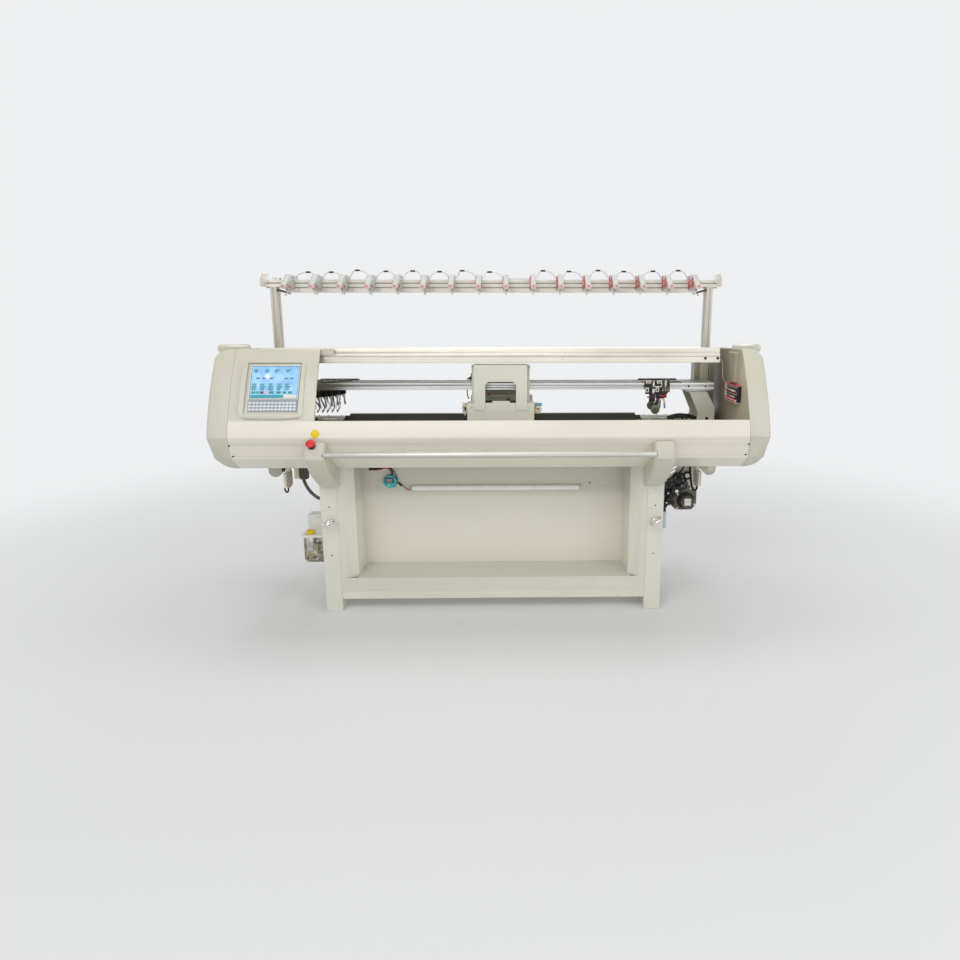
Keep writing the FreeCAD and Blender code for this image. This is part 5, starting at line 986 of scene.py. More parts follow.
def feeder_strip(made, at, across, tip):
    """The flat chrome feeder: upright at the block, then leaning over to its own line at the needles."""
    part = bmesh.new()
    verts = []
    for thick in (-1.2, 1.2):
        for x, z in FEEDER:
            share = min(1.0, max(0.0, (BEND_HIGH - z) / (BEND_HIGH - BEND_LOW)))
            verts.append(part.verts.new((at + x, across + share * (tip - across) + thick, z)))
    count = len(FEEDER)
    part.faces.new(verts[:count])
    part.faces.new(reversed(verts[count:]))
    for index in range(count):
        after = (index + 1) % count
        part.faces.new((verts[after], verts[index], verts[count + index], verts[count + after]))
    bmesh.ops.recalc_face_normals(part, faces=part.faces)
    bmesh.ops.triangulate(part, faces=part.faces)
    made.lay(part, 1)


def feeder_fittings(made, at, across, tip):
    """The rods, clamps and red and white leads that run down to the feeder's tip."""
    near, far = across - 6, across + 6
    made.wire([(at - 2, across, 1012), (at - 2, across, 996), (at - 1, across, 990), (at + 4, tip, 958),
               (at + 6, tip, 950)], 2.0, 1)
    made.rod((at - 4, tip, 927), (at - 4, tip, 940), 2.4, 2, 0.4, 14, 3.2)
    made.rod((at + 11, across, 1006), (at + 11, across, 990), 2.2, 1, 0.5, 14)
    made.blocks(((at - 16, near + 3, 996), (at - 11, far - 3, 1004), 1.5, 4),
                ((at + 6, near + 4, 994), (at + 10, far - 4, 1003), 1.5, 4),
                ((at + 14, across - 2, 955), (at + 22, across + 2, 972), 1.2, 8),
                ((at + 12, across - 2.5, 968), (at + 20, across + 2.5, 1004), 1.2, 2))
    made.wire([(at + 14, across, 1016), (at + 20, across, 1006), (at + 15, across, 996),
               (at + 11, across, 992)], 1.1, 4)
    made.wire([(at - 12, across, 1008), (at - 13, across, 985), (at - 10, tip, 962), (at - 7, tip, 944)],
              2.0, 6)


def carrier_disc(made, at, y):
    """The brown steel disc on its dark arm, beside the feeder."""
    x, z, sides = at - 26, 950, 24
    rim = [(x + 21 * math.cos(turn * math.tau / sides), z + 22 * math.sin(turn * math.tau / sides))
           for turn in range(sides)]
    made.slab(rim, "Y", y - 1.5, y + 1.5, 0.5, 5)
    arm = [(x - 8, z + 14), (x + 12, z + 14), (at - 8, 1004), (at - 20, 1004)]
    made.slab(arm, "Y", y - 1.2, y + 1.2, 0.4, 7)
    made.screw((x, y - 1.5, z), (0, -1, 0), 5, 3)


def yarn_carrier(number):
    """A yarn carrier: slide plate, block with stops and wiring, and the bent chrome feeder."""
    lane, at = number - 1, CARRIER_AT[number]
    side = 1 if lane % 2 else -1
    rail = (lane // 2 - 1.5) * RAIL_PITCH
    across, tip = rail + side * LANE_OUT, (lane - 3.5) * TIP_PITCH
    made = Piece("yarn_carrier_%d_dressed" % number, BLACK_OXIDE, CHROME, ZINC, DARK_CAST, LEVER_RED,
                 STEEL_DISC, WHITE_PLASTIC, BLACK_PLASTIC, CAP_BLUE)
    carrier_slide(made, at, rail, side, across)
    carrier_block(made, at, side, across, number not in SPACED)
    feeder_strip(made, at, across, tip)
    feeder_fittings(made, at, across, tip)
    if number in WITH_DISC:
        carrier_disc(made, at, across - 3 if number == 7 else across)
    if number == 1:
        carrier_cheek(made, at, across - 6)
    made.done("yarn_carrier_%d" % number, instead=True)


def carrier_cheek(made, at, near):
    """The wiring cheeks on the front face of the foremost carrier."""
    low_y, high_y = near - 1.8, near + 1
    made.blocks(((at - 77, low_y, 1023), (at + 1, high_y, 1085), 1.0, 0),
                ((at + 1, low_y + 0.6, 1031), (at + 38, high_y, 1093), 1.0, 3),
                ((at - 57, near + 1, 987), (at - 28, near + 9, 1026), 2.0, 7))
    for left, right, low, high in ((-75, -51, 1072, 1085), (-24, 0, 1072, 1085), (-76, -60, 1031, 1053),
                                   (-29, -13, 1033, 1054)):
        middle = (low + high) / 2
        made.blocks(((at + left, low_y - 1.6, low), (at + right, low_y + 0.5, high), 1.6, 6),
                    ((at + left + 4, low_y - 1.8, low + 4), (at + right - 4, low_y, high - 4), 0.3, 7),
                    ((at + left + 6, low_y - 2.2, middle - 1.5), (at + right - 6, low_y, middle + 1.5),
                     0.4, 4))
    for left, right, low, high, edge, finish in (
            (-44, -33, 1023, 1048, 0.8, 2), (-43, -35, 1054, 1082, 0.8, 2), (-34, 1, 1056, 1060, 0.6, 6),
            (-3, 1, 1056, 1074, 0.6, 6)):
        made.block((at + left, low_y - 1.4, low), (at + right, low_y + 0.5, high), edge, finish)
    for left, low in ((-66, 1004), (-36, 1002), (14, 1012), (-8, 1010), (2, 1008)):
        made.block((at + left, low_y, low), (at + left + 7, low_y + 3, low + 9), 1.5, 4)
    for x in (6, 18, 30):
        made.screw((at + x, low_y + 0.6, 1040), (0, -1, 0), 3.2, 2)
        made.block((at + x - 4, low_y, 1056), (at + x + 3, low_y + 1, 1086), 0.5, 2 if x == 18 else 7)


# ---------------------------------------------------------------- rails, brackets, beam and columns
def rail_fittings():
    """Bolts in the front rail, and the bright flanges that carry the rails on their brackets."""
    front, rail_z = (0, -1, 0), 1058.5
    fittings = Piece("rail_fittings", ZINC, BLACK_OXIDE, GROUND)
    for side in (-1, 1):
        for x in (side * 915, side * 994):
            fittings.screw((x, -81.6, rail_z), front, 5.5, 1)
            fittings.washer((x, -81.8, rail_z), front, 7.5, 0.3)
            for rail in (-25, 25, 75):
                fittings.screw((x, rail - 6.6, rail_z), front, 5.5, 1)
        near, far = sided(side, 906, 1032.6)
        fittings.block((near, -84, 1032), (far, -81.9, 1042.8), 0.5, 2)
        fittings.screw((side * 1006, -82.2, 906), front, 7.5, 1)
        for x in (side * 930, side * 985):
            fittings.screw((x, -82.1, 832), front, 6.0, 0)
    fittings.done("yarn_rails")


def beam_fittings():
    """Ridges along the front beam, a thin dark strip that is the painted shade of a groove line, and its end
    bolts.
    """
    half, front, bolt_z = 1019.5, (0, -1, 0), 1194.5
    fittings = Piece("beam_fittings", BEAM, BLACK_OXIDE, COLUMN, ZINC)
    for low, high, out in ((1178, 1180, -195.9), (1205.4, 1207.8, -196.2)):
        fittings.block((-half, out, low), (half, -194.5, high), 0.5, 0)
    # painted shade: a thin dark strip for the shade in a groove line high on the beam
    fittings.block((-half, -195.3, 1221.6), (half, -194.6, 1222.8), 0.2, 2)
    for x in (-1010, -954, 954, 1010):
        fittings.screw((x, -195.1, bolt_z), front, 6.2, 1)
        fittings.washer((x, -195.2, bolt_z), front, 8.5, 0.4, 3)
    fittings.rod((318, -195.6, 1192), (318, -194.8, 1192), 2.0, 1, 0.2, 12)
    fittings.done("top_beams")


def column_panels():
    """Pale covers on the two side columns, with dark reveals."""
    covers = Piece("column_covers", PALE_PLATE, BLACK_OXIDE, ZINC)
    for side in (-1, 1):
        near, far = sided(side, 1010, 1062)
        covers.block((near + 2, 95.6, 988), (far - 2, 97.4, 1175), 0.8, 0)
        near, far = sided(side, 1052, 1055)
        covers.block((near, 95.0, 1010), (far, 96.4, 1172), 0.3, 1)
        for z in (1000, 1164):
            covers.screw((side * 1020, 95.6, z), (0, -1, 0), 3.2, 2)
    covers.done("side_columns")


# ---------------------------------------------------------------- terminal blocks
TERMINAL_ROWS = [(1056, "dark"), (1026, "dark_pale"), (996, "white")]
CLAMPS, CLAMP_PITCH = 23, 7
TERMINAL_FROM, TERMINAL_TO = -243, -80
TERMINAL_LEAD_WIDE, TERMINAL_LEAD_LENGTH = 3, 150.6


def terminal_row(row, low, kind):
    """One row: its clamps' body, the label above them and the red line on top."""
    white, first, last = kind == "white", TERMINAL_FROM, TERMINAL_TO
    row(1086 if white else 1092, 1109, first, last, low + 1, low + 15, 0.8, 3 if white else 1)
    row(1088, 1109, first, last, low + 14, low + 18, 0.6, 4 if white else 2)
    row(1085.4, 1109, first - 1, last + 1, low + 17.4, low + 19.4, 0.4, 0)
    for step in range(CLAMPS):
        start = first + 2 + step * CLAMP_PITCH
        row(1084.8 if white else 1090.5, 1096, start, start + 4, low + 5, low + 11, 0.4, 0 if white else 2)
        slot = {"dark": 4, "dark_pale": 1, "white": 0}[kind]
        row(1086.6, 1092, start + 5, start + 6.4, low + 15, low + 19, 0, slot)


def terminal_rows():
    """Three rows of clamps on each end panel: red labels, dark clamps and a white row below."""
    rows = Piece("terminal_rows", STOP_RED, BLACK_PLASTIC, ZINC, WHITE_PLASTIC, IVORY_PLASTIC)
    first, last = TERMINAL_FROM, TERMINAL_TO
    for side in (-1, 1):
        def row(near, far, low_y, high_y, low, high, edge, finish):
            left, right = sided(side, near, far)
            rows.block((left, low_y, low), (right, high_y, high), edge, finish)

        for low, kind in TERMINAL_ROWS:
            terminal_row(row, low, kind)
        row(1089, 1109, first - 2, first + 2, 1000, 1072, 0.8, 1)
        row(1086, 1109, last - 4, last + 4, 998, 1074, 1.0, 4)
        row(1089, 1100, -200, -120, 1040, 1052, 1.0, 3)
        row(1089, 1100, -196, -130, 1018, 1024, 1.0, 3)
    rows.done("terminal_blocks", instead=True)
    route = [(1021, -150, 1186), (1036, -151, 1188), (1046, -152, 1172), (1049, -150, 1140),
             (1050, -146, 1112), (1060, -140, 1090), (1076, -136, 1082), (1092, -132, 1078)]
    flexible("terminal_lead", ROSE_WIRE, route, TERMINAL_LEAD_WIDE)


def end_tubes():
    """The rolled front and rear ends that stand on the caps: a cream bar with near-flat faces."""
    tubes = Piece("end_tubes", SHELL)
    for side in (-1, 1):
        tubes.rod((side * 1190, -175, 1237.5), (side * 1190, 129.8, 1225.3), 18.5, 0, 3.0, 40)
    tubes.done("top_tubes", instead=True)


# ---------------------------------------------------------------- feed bar and tension units
UNIT_OUTLINE = [(46, 1503), (180, 1503), (180, 1549), (232, 1549), (232, 1560), (216, 1570), (112, 1570),
                (46, 1524)]
DISC_Z = 1513
FORK_ARMS = ([(168, 1522), (170, 1536), (130, 1548), (104, 1560), (95, 1550), (124, 1534)],
             [(158, 1508), (160, 1520), (116, 1534), (80, 1542), (72, 1532), (108, 1520)],
             [(96, 1506), (112, 1508), (84, 1524), (68, 1521)],
             [(170, 1500), (176, 1500), (176, 1566), (170, 1566)])


def tension_shell(shell, x):
    """One unit's moulded housing with its prongs, bosses and white front disc."""
    shell.slab(UNIT_OUTLINE, "X", x - 12, x + 12, 1.8)
    shell.slab([(56, 1507), (112, 1507), (112, 1560), (56, 1524)], "X", x - 12.6, x + 12.6, 0.6)
    shell.block((x - 12.5, 124, 1552), (x + 12.5, 208, 1565), 0.8, 0)
    for start, slant in ((98, 7), (138, 5)):
        foot = start - slant
        shell.slab([(foot, 1476), (foot + 5, 1476), (start + 7, 1505), (start - 2, 1505)], "X",
                   x - 3.5, x + 3.5, 1.0, 1)
    shell.blocks(((x - 9, 84, 1497), (x - 3, 150, 1504), 1.0, 1),
                 ((x + 4, 88, 1491), (x + 8, 104, 1504), 1.0, 2))
    shell.pins((x - 1.6, 1503, 173.6, 180, 4, 1, 0.8, 16), (x + 29, 1503, 173.6, 180, 5.5, 1, 1.0, 16),
               (x, DISC_Z, 26, 46.2, 7, 1, 1.2, 24))
    shell.lathe([(0, 3.2), (9, 3.2), (13, 1.2), (13, -0.6), (6, -1.6), (0, -1.6)], (x, 27, DISC_Z),
                (0, -1, 0), 1, 30)


def tension_fork(levers, x):
    """One unit's red marks: ring and knob on the disc, fork arms on one side, stops on the other."""
    levers.ring((x, 24.6, DISC_Z), (0, 1, 0), 8.6, 1.1, 0, 30, 8)
    levers.lathe([(0, 3.0), (3.2, 3.0), (4.0, 2.0), (4.0, 0), (0, 0)], (x, 24, DISC_Z), (0, -1, 0), 0, 18)
    for arm in FORK_ARMS:
        levers.slab(arm, "X", x - 15, x - 12, 0.8, 0)
    levers.washer((x - 15, 128, 1529), (-1, 0, 0), 6, 1.5, 1, 20, 7)
    levers.blocks(((x + 11.8, 80, 1508), (x + 15, 98, 1518), 1.4, 0),
                  ((x + 11.8, 60, 1506), (x + 13.4, 66, 1526), 0.7, 0))


def tension_units():
    shell = Piece("tension_shells", GREY_PLASTIC, WHITE_PLASTIC, IVORY_PLASTIC)
    levers = Piece("tension_forks", LEVER_RED, WHITE_PLASTIC)
    for index in range(UNITS):
        tension_shell(shell, unit_x(index))
        tension_fork(levers, unit_x(index))
    shell.done("tension_housings", instead=True)
    levers.done("tension_levers", instead=True)


def feed_fittings():
    """Slanted gussets under the feed bar, its end knobs, small screws, and grey strips in its slots that are
    painted shade.
    """
    half = 1095
    fittings = Piece("feed_fittings", BLACK_OXIDE, WHITE_PLASTIC, FEED_BAR, IVORY_PLASTIC, ROSE_WIRE,
                     END_PLATE, DRIVE_PLATE)
    for side in (-1, 1):
        arm = [(side * 1044.5, 1506), (side * 1044.5, 1495), (side * 985, 1479), (side * 985, 1488)]
        fittings.slab(arm, "Y", 186, 206, 0.8, 6)
        fittings.pins((side * 1034, 1484, 182, 190, 4.6, 3, 1.2, 18),
                      (side * 1006, 1477, 182, 190, 4.6, 3, 1.2, 18))
        for z in (1530, 1560):
            fittings.screw((side * 1101.1, 160, z), (side, 0, 0), 5, 0)
    fittings.rods(((-1056, 196, 1560), (-1056, 196, 1549), 12, 1, 2.0, 28),
                  ((-1030, 196, 1549), (-1030, 196, 1555), 5, 0, 1.2, 18))
    fittings.blocks(((-half, 179.4, 1546), (half, 181, 1549), 0.4, 2),
                    ((-995, 179.4, 1488.2), (995, 181, 1491), 0.4, 2))
    # painted shade: grey strips stand for the shade in the bar's two grooves
    for low in (1508.2, 1528.7):
        fittings.block((-half, 181.4, low), (half, 183.2, low + 5.6), 0.2, 5)
    for x in (-1084, 1012, 1082):
        fittings.screw((x, 179.8, 1541), (0, -1, 0), 3.4, 4)
    fittings.done("feed_bar")


# ---------------------------------------------------------------- bin, lamp and stand
def lamp_strip():
    """The light strip under the machine: ribbed lens, end caps, connector and leads."""
    left, right = -398, 418
    strip = Piece("lamp_strip", LAMP, GREY_PLASTIC, BLACK_PLASTIC, RED_WIRE, ROSE_WIRE)
    lens = [(2, 542.4), (2, 567.8)]
    for step in range(9):
        angle = math.radians(80 - 20 * step)
        lens.append((-4 - 11.5 * math.cos(angle), 555 + 12.8 * math.sin(angle)))
    strip.slab(lens, "X", left, right, 0.8, 0)
    cap = [(1.9, 541), (1.9, 569), (-9, 569), (-15, 563), (-16.4, 555), (-15, 547), (-9, 541)]
    for low, high in ((left - 6.6, left + 2), (right - 2, right + 6.6)):
        strip.slab(cap, "X", low, high, 1.5, 1)
    strip.blocks(((left, -7, 538.6), (right, 1.9, 542.6), 0.6, 1),
                 ((left, -2, 567.6), (right, 1.9, 570), 0.6, 1))
    strip.wire([(-404, -6, 549), (-414, -8, 544), (-426, -6, 550), (-440, -3, 560), (-452, -3, 570)], 2.0, 3)
    strip.wire([(-404, -6, 553), (-415, -10, 549), (-428, -8, 556), (-442, -5, 565), (-454, -4, 573)],
               1.6, 4)
    strip.rods(((-448, -4, 566), (-463, -5, 580), 5, 2, 1.2, 18),
               ((-461, -5, 578), (-467, -5, 584), 3.4, 2, 0.8, 14))
    strip.done("lamp_tube", instead=True)


def lamp_driver():
    """The turquoise adapter with its label and the leads that loop over it."""
    adapter = Piece("lamp_driver", TURQUOISE, NAVY, BLACK_PLASTIC, RED_WIRE, IVORY_PLASTIC)
    adapter.lathe([(0, 22), (26, 22), (31, 20), (33, 15), (33, 0), (0, 0)], (-503, 2, 590), (0, -1, 0),
                  0, 40)
    adapter.block((-527, -21.2, 584), (-484, -19.4, 612), 1.0, 1)
    for low in (588, 595, 602):
        adapter.block((-522, -21.6, low), (-490, -21, low + 2.5), 0, 4)
    adapter.rod((-510, -20.4, 573), (-510, -19.4, 573), 5, 4, 0.3, 18)
    for radius, finish, route in (
            (2.8, 2, [(-600, -1, 652), (-572, -3, 650), (-546, -5, 656), (-522, -6, 661), (-503, -6, 656),
                      (-494, -6, 644), (-490, -7, 632), (-492, -8, 622)]),
            (2.4, 3, [(-600, -3, 647), (-574, -6, 645), (-545, -8, 652), (-520, -9, 657), (-505, -9, 651),
                      (-499, -9, 640), (-497, -9, 628), (-500, -9, 620)]),
            (2.2, 2, [(-597, -4, 655), (-570, -8, 656), (-540, -9, 661), (-514, -10, 664), (-494, -10, 656),
                      (-482, -10, 640), (-473, -11, 618), (-470, -12, 596), (-474, -12, 572),
                      (-486, -11, 562)])):
        adapter.wire(route, radius, finish)
    adapter.blocks(((-606, -5, 643), (-594, 1.8, 658), 1.2, 2), ((-548, -11, 648), (-541, 1.8, 664), 1.0, 2))
    adapter.done("lamp_adapter", instead=True)


def bin_marks():
    """Small holes and fixings on the bin's sheets and the stand's legs."""
    front, back_face, leg_face = (0, -1, 0), 1.9, -199.9
    dots = Piece("bin_fixings", BLACK_OXIDE, ZINC, BIN)
    dots.washer((470, back_face, 576), front, 4.0, 0.3)
    for x, z in ((520, 562), (552, 562), (-566, 592), (-572, 566), (-560, 556)):
        dots.washer((x, back_face, z), front, 1.8, 0.3, 0, 12)
    for x, z in ((726, 571), (772, 571), (723, 503), (740, 503)):
        dots.washer((x, leg_face, z), front, 1.7, 0.3, 0, 12)
    for side in (-1, 1):
        for z in (281, 516):
            dots.washer((side * 755, leg_face, z), front, 3.2, 0.4, 0, 16, 3.6)
        for z in (120, 140):
            dots.washer((side * 690, leg_face, z), front, 3.5, 1.2, 2, 16, 4.5)
        for y in (-150, 150):
            for z in (90, 660):
                dots.screw((side * 795, y, z), (side, 0, 0), 6.0, 1)
    dots.done("fabric_bin")


def stand_feet():
    """Levelling pads at the foot of each leg."""
    pads = Piece("foot_pads", RUBBER, ZINC)
    for side in (-1, 1):
        for y in (-143, 143):
            near, far = sided(side, 722, 791)
            pads.block((near, y - 53, 0.0), (far, y + 53, 3.0), 1.0, 0)
    pads.done("left_stand")


# ---------------------------------------------------------------- under the ends
GEAR_FACE = -60
DRIVE_OUTLINE = [(882, 458), (958, 458), (979, 481), (979, 548), (929, 588), (857, 588), (857, 481)]
DRIVE_SCREWS = ((889, 464), (972, 482), (950, 563), (905, 581))


def takedown_plates():
    """The pale gearbox plate and the dark eight-cornered drive plate bolted in front of it."""
    plates = Piece("takedown_plates", GEAR_PLATE, DRIVE_PLATE, WHITE_PLASTIC, BLACK_OXIDE)
    plates.block((820, -60, 475), (985, -52, 706), 1.0, 0)
    plates.slab(DRIVE_OUTLINE, "Y", -74, -66, 1.0, 1)
    for x, z in DRIVE_SCREWS:
        plates.rod((x, -66.4, z), (x, -59.6, z), 6, 3, 0.3, 16)
        plates.screw((x, -73.9, z), (0, -1, 0), 6.2, 2)
    plates.rod((878, -95, 555), (878, -60, 555), 6, 3, 0.8, 20)
    plates.done("takedown_frame", instead=True)


def motor_face(gear):
    """The ribbed square motor that shows in the drive plate's round opening."""
    x, z, facing = 928, 505, (0, 1, 0)
    gear.ring((x, -76, z), facing, 38, 4.5, 1, 40, 12)
    gear.ring((x, -94, z), facing, 31.2, 1.8, 1, 40, 10)
    gear.ring((x, -110, z), facing, 29.6, 2.2, 1, 40, 10)
    gear.block((909, -121.4, 491), (943, -119.4, 527), 1.0, 1)
    for step in range(5):
        gear.block((910, -124, 492 + step * 7), (942, -120.4, 497.6 + step * 7), 0.8, 7)


def coiled_leads(gear):
    """The cable gland, the coils of lead beside it and the pipe bundle that leans over them."""
    gear.ring((928, -84, 630), (0, 1, 0), 16, 5.5, 5, 36, 12)
    gear.ring((893, -80, 612), (0.2, 1, 0), 27, 4.2, 5, 40, 12)
    gear.ring((884, -86, 596), (-0.3, 1, 0.2), 22, 3.4, 5, 36, 12)
    gear.ring((903, -88, 590), (0.4, 1, -0.2), 25, 2.8, 5, 36, 10)
    for step in range(5):
        left, low = 833 + step * 4, 634 + step * 10
        gear.block((left, -92 + step, low), (left + 35, -62, low + 8), 1.0, 4 if step % 2 else 6,
                   turn=("Y", -38))


def takedown_details():
    """What crowds the gearbox: bearings, hose unions, coiled leads, and the ribbed motor face."""
    gear = Piece("takedown_details", DARK_CAST, BLACK_PLASTIC, IVORY_PLASTIC, ZINC, CHROME, RUBBER,
                 GEAR_PLATE, WHITE_PLASTIC)
    motor_face(gear)
    coiled_leads(gear)
    gear.pins((878, 555, -96, -99, 9, 3, 1.0, 20), (928, 630, -88, GEAR_FACE, 11, 7, 1.0, 24),
              (893, 612, -84, GEAR_FACE, 13, 1, 1.5, 26), (816, 560, -80, GEAR_FACE, 16, 1, 1.5, 26),
              (838, 545, -88, GEAR_FACE, 18, 5, 1.5, 26), (838, 545, -92, -87, 8, 1, 1.0, 20),
              (846, 505, -82, GEAR_FACE, 15, 1, 1.5, 24), (826, 582, -90, GEAR_FACE, 15, 1, 1.5, 24),
              (905, 690, -80, GEAR_FACE, 9, 4, 1.2, 20))
    for x, z in ((838, 545), (816, 524), (850, 486), (884, 540), (832, 498), (858, 584)):
        gear.pins((x, z, -96, -90, 3.6, 4, 0.8, 12), (x, z, -91, -62, 5.0, 1, 0.8, 12))
    for x in (864, 872, 880):
        gear.rod((x, -79, 676), (x, -77, 676), 2.4, 1, 0.3, 10)
    gear.blocks(((822, -78, 610), (840, GEAR_FACE, 704), 2.0, 3, ("Y", 14)),
                ((812, -74, 470), (842, GEAR_FACE, 590), 2.0, 1), ((836, -86, 484), (872, -64, 500), 2.5, 1),
                ((843, -88, 520), (870, -66, 534), 1.5, 1), ((840, -96, 574), (866, -70, 600), 2.0, 1),
                ((852, -84, 556), (884, -74.2, 574), 2.0, 5),
                ((858, -76, 622), (902, GEAR_FACE, 640), 2.0, 1),
                ((856, -78, 664), (888, GEAR_FACE, 704), 2.0, 2))
    gear.done("takedown_frame")


def leg_plate():
    """The silver-blue junction plate low on the right leg's outer face, with its black plug."""
    leg = 794.8
    plate = Piece("leg_junction", SILVER_BLUE, BLACK_PLASTIC, ZINC)
    plate.blocks(((leg, -150, 388), (821, -128, 470), 3.0, 0), ((leg, -150, 470), (818, -120, 497), 2.0, 1),
                 ((leg, -152, 386), (799, -90, 440), 1.5, 0))
    plate.screw((821, -139, 428), (1, 0, 0), 4, 2)
    plate.done("right_stand")


def power_details():
    """The power units' dark ribs and grooves, and the small boxes that hang beside them."""
    units = Piece("power_fins", DARK_CAST, BLACK_PLASTIC, ZINC, BLACK_OXIDE)
    for step, finish in enumerate((0, 3, 0)):
        for start in (-951.4, 953.4):
            x = start + step * 2.7
            units.block((x, -170.6, 603), (x + 1.4, -102, 665), 0.3, finish)
    units.blocks(((966, -170.4, 602), (967.4, -169.6, 666), 0.1, 3),
                 ((-963, -150, 596), (-945, -112, 602), 1.5, 1),
                 ((954, -150, 596), (972, -112, 602), 1.5, 1))
    units.done("power_units")


def under_boxes():
    """The terminal boxes and glands under the casing's floor at both ends."""
    boxes = Piece("under_boxes", WHITE_PLASTIC, BLACK_PLASTIC, DARK_CAST, IVORY_PLASTIC, ZINC)
    boxes.blocks(((-925, -132, 640), (-904, -96, CASING_FLOOR), 1.8, 3),
                 ((-926, -134, 634), (-898, -98, 640.5), 1.5, 0),
                 ((-905, -130, 631), (-866, -94, CASING_FLOOR), 2.0, 2),
                 ((-990, -112, 672), (-972, -80, CASING_FLOOR), 2.0, 1),
                 ((998, -178, 676), (1028, -172, 697), 1.5, 3),
                 ((830, -110, 694), (934, -60, CASING_FLOOR), 2.0, 1))
    for x in (-897, -884, -873):
        boxes.block((x, -133, 636), (x + 4, -128, 704), 1.0, 1)
    for x in (-984, -976):
        boxes.rod((x, -112, 664), (x, -112, CASING_FLOOR), 3.4, 1, 0.8, 14)
    for x in (1004, 1022):
        boxes.screw((x, -177.6, 686), (0, -1, 0), 3, 4)
    boxes.done("power_units")


CAP_AT = (-887, -68, 346)


def oil_tank():
    """The clear oil tank, with the works and stains that show through it."""
    tank = Piece("lubricator_reservoir", TANK, DARK_CAST, ZINC, CAP_YELLOW, IVORY_PLASTIC, BLACK_PLASTIC)
    tank.slab([(-903, 208), (-797, 208), (-797, 333.6), (-917, 333.6), (-917, 222)], "Y", -91, 30, 3.0, 0)
    tank.blocks(((-904, -93, 280), (-872, -90.4, 333), 1.5, 2),
                ((-806, -92.4, 240), (-798, -90.6, 300), 1.0, 5))
    tank.pins((-888, 274, -92.5, -90.4, 14, 2, 0.5, 22), (-842, 306, -92.2, -90, 9, 1, 0.8, 20))
    spots, finishes = random.Random(7), (1, 2, 1, 4, 2, 3, 1)
    for index in range(46):
        x, z = spots.uniform(-912, -806), spots.uniform(214, 322)
        wide, tall = spots.uniform(3, 11), spots.uniform(3, 13)
        front = -92.0 - 0.6 * spots.random()
        tank.block((x, front, z), (min(x + wide, -798), -90.5, min(z + tall, 330)), 0.6,
                   finishes[index % len(finishes)])
    tank.done("lubricator_tank", instead=True)


def oil_cap():
    """The yellow filler cap with a grip of fine ribs."""
    x, y, z = CAP_AT
    ribs = 24
    cap = Piece("oil_cap_ribbed", CAP_YELLOW)
    cap.lathe([(0, 17), (15, 17), (18, 15.6), (19, 14), (19, 0.6), (12, 0.4), (12, -5), (0, -5)], CAP_AT,
              (0, 0, 1), 0, 40)
    for step in range(ribs):
        angle = math.tau * step / ribs
        rib_x, rib_y = x + 18.6 * math.cos(angle), y + 18.6 * math.sin(angle)
        cap.rod((rib_x, rib_y, z + 1.5), (rib_x, rib_y, z + 14.5), 1.1, 0, 0.3, 8)
    cap.rod((x, y, z + 16.5), (x, y, z + 18.5), 8, 0, 0.8, 24)
    cap.done("lubricator_cap", instead=True)


def oil_trim():
    """The red button and the small clips on the oil unit's cabinet."""
    trim = Piece("lubricator_trim", STOP_RED, BLACK_PLASTIC, GREY_PLASTIC)
    trim.rod((-808, -60, 346), (-808, -60, 362), 4.5, 0, 1.0, 18)
    trim.blocks(((-812, -98.4, 336), (-803, -96, 344), 0.8, 2),
                ((-870, -30.8, 416), (-840, -29.6, 420), 0.4, 2))
    trim.done("lubricator_box")


# ---------------------------------------------------------------- ends of the beds and the back
def bed_end_details():
    """The cable bundle on the right end plate and small clamps on both."""
    bundle = Piece("bed_end_bundle", RUBBER, BLACK_PLASTIC, ZINC, CASTING)
    for shift, lift, size in ((0, 0, 5.5), (6, 5, 5.0), (-5, 8, 4.6), (3, 11, 4.2), (-8, 2, 4.5)):
        bundle.wire([(818, -92 + shift, 907 + 0.6 * lift), (840, -90 + shift, 912 + lift),
                     (872, -86 + shift, 915 + 1.2 * lift), (906, -84 + shift, 914 + 1.1 * lift),
                     (934, -80 + shift, 909 + lift), (958, -70 + shift, 905 + 0.5 * lift),
                     (972, -50 + shift, 903)], size, 0)
    for x in (838, 886, 930):
        bundle.block((x, -102, 902), (x + 7, -76, 927), 3.0, 1)
    for x in (735, 800, 845):
        for side in (-1, 1):
            for y in (-60, 60):
                bundle.screw((side * x, y, 903), (0, 0, 1), 5.0, 2)
    bundle.blocks(((-842, -97, 903), (-812, -84, 915), 1.5, 1),
                  ((-790, -80, 902.6), (-740, -50, 907), 1.5, 3))
    bundle.done("bed_end_plates")


def rear_louvres(name, middle):
    """One service panel's rows of louvres on the sloping rear, with painted shade in their openings, and its
    four screws.
    """
    louvre = Piece(name, SHELL, BLACK_OXIDE, ZINC, on=slope_frame((337.6, 772), (395, 850), -1))
    for row in range(4):
        low = 10 + row * 15
        for step in range(8):
            start = middle - 150 + step * 38
            # painted shade: a black strip under each slat stands for the dark opening
            louvre.blocks(((start, low, -0.5), (start + 30, low + 4, 0.4), 0, 1),
                          ((start - 1, low + 4, -0.5), (start + 31, low + 8, 2.4), 1.0, 0))
    for x in (middle - 170, middle + 160):
        for up in (12, 62):
            louvre.screw((x, up, 0), (0, 0, 1), 4.5, 2)
    louvre.done("rear_panel")


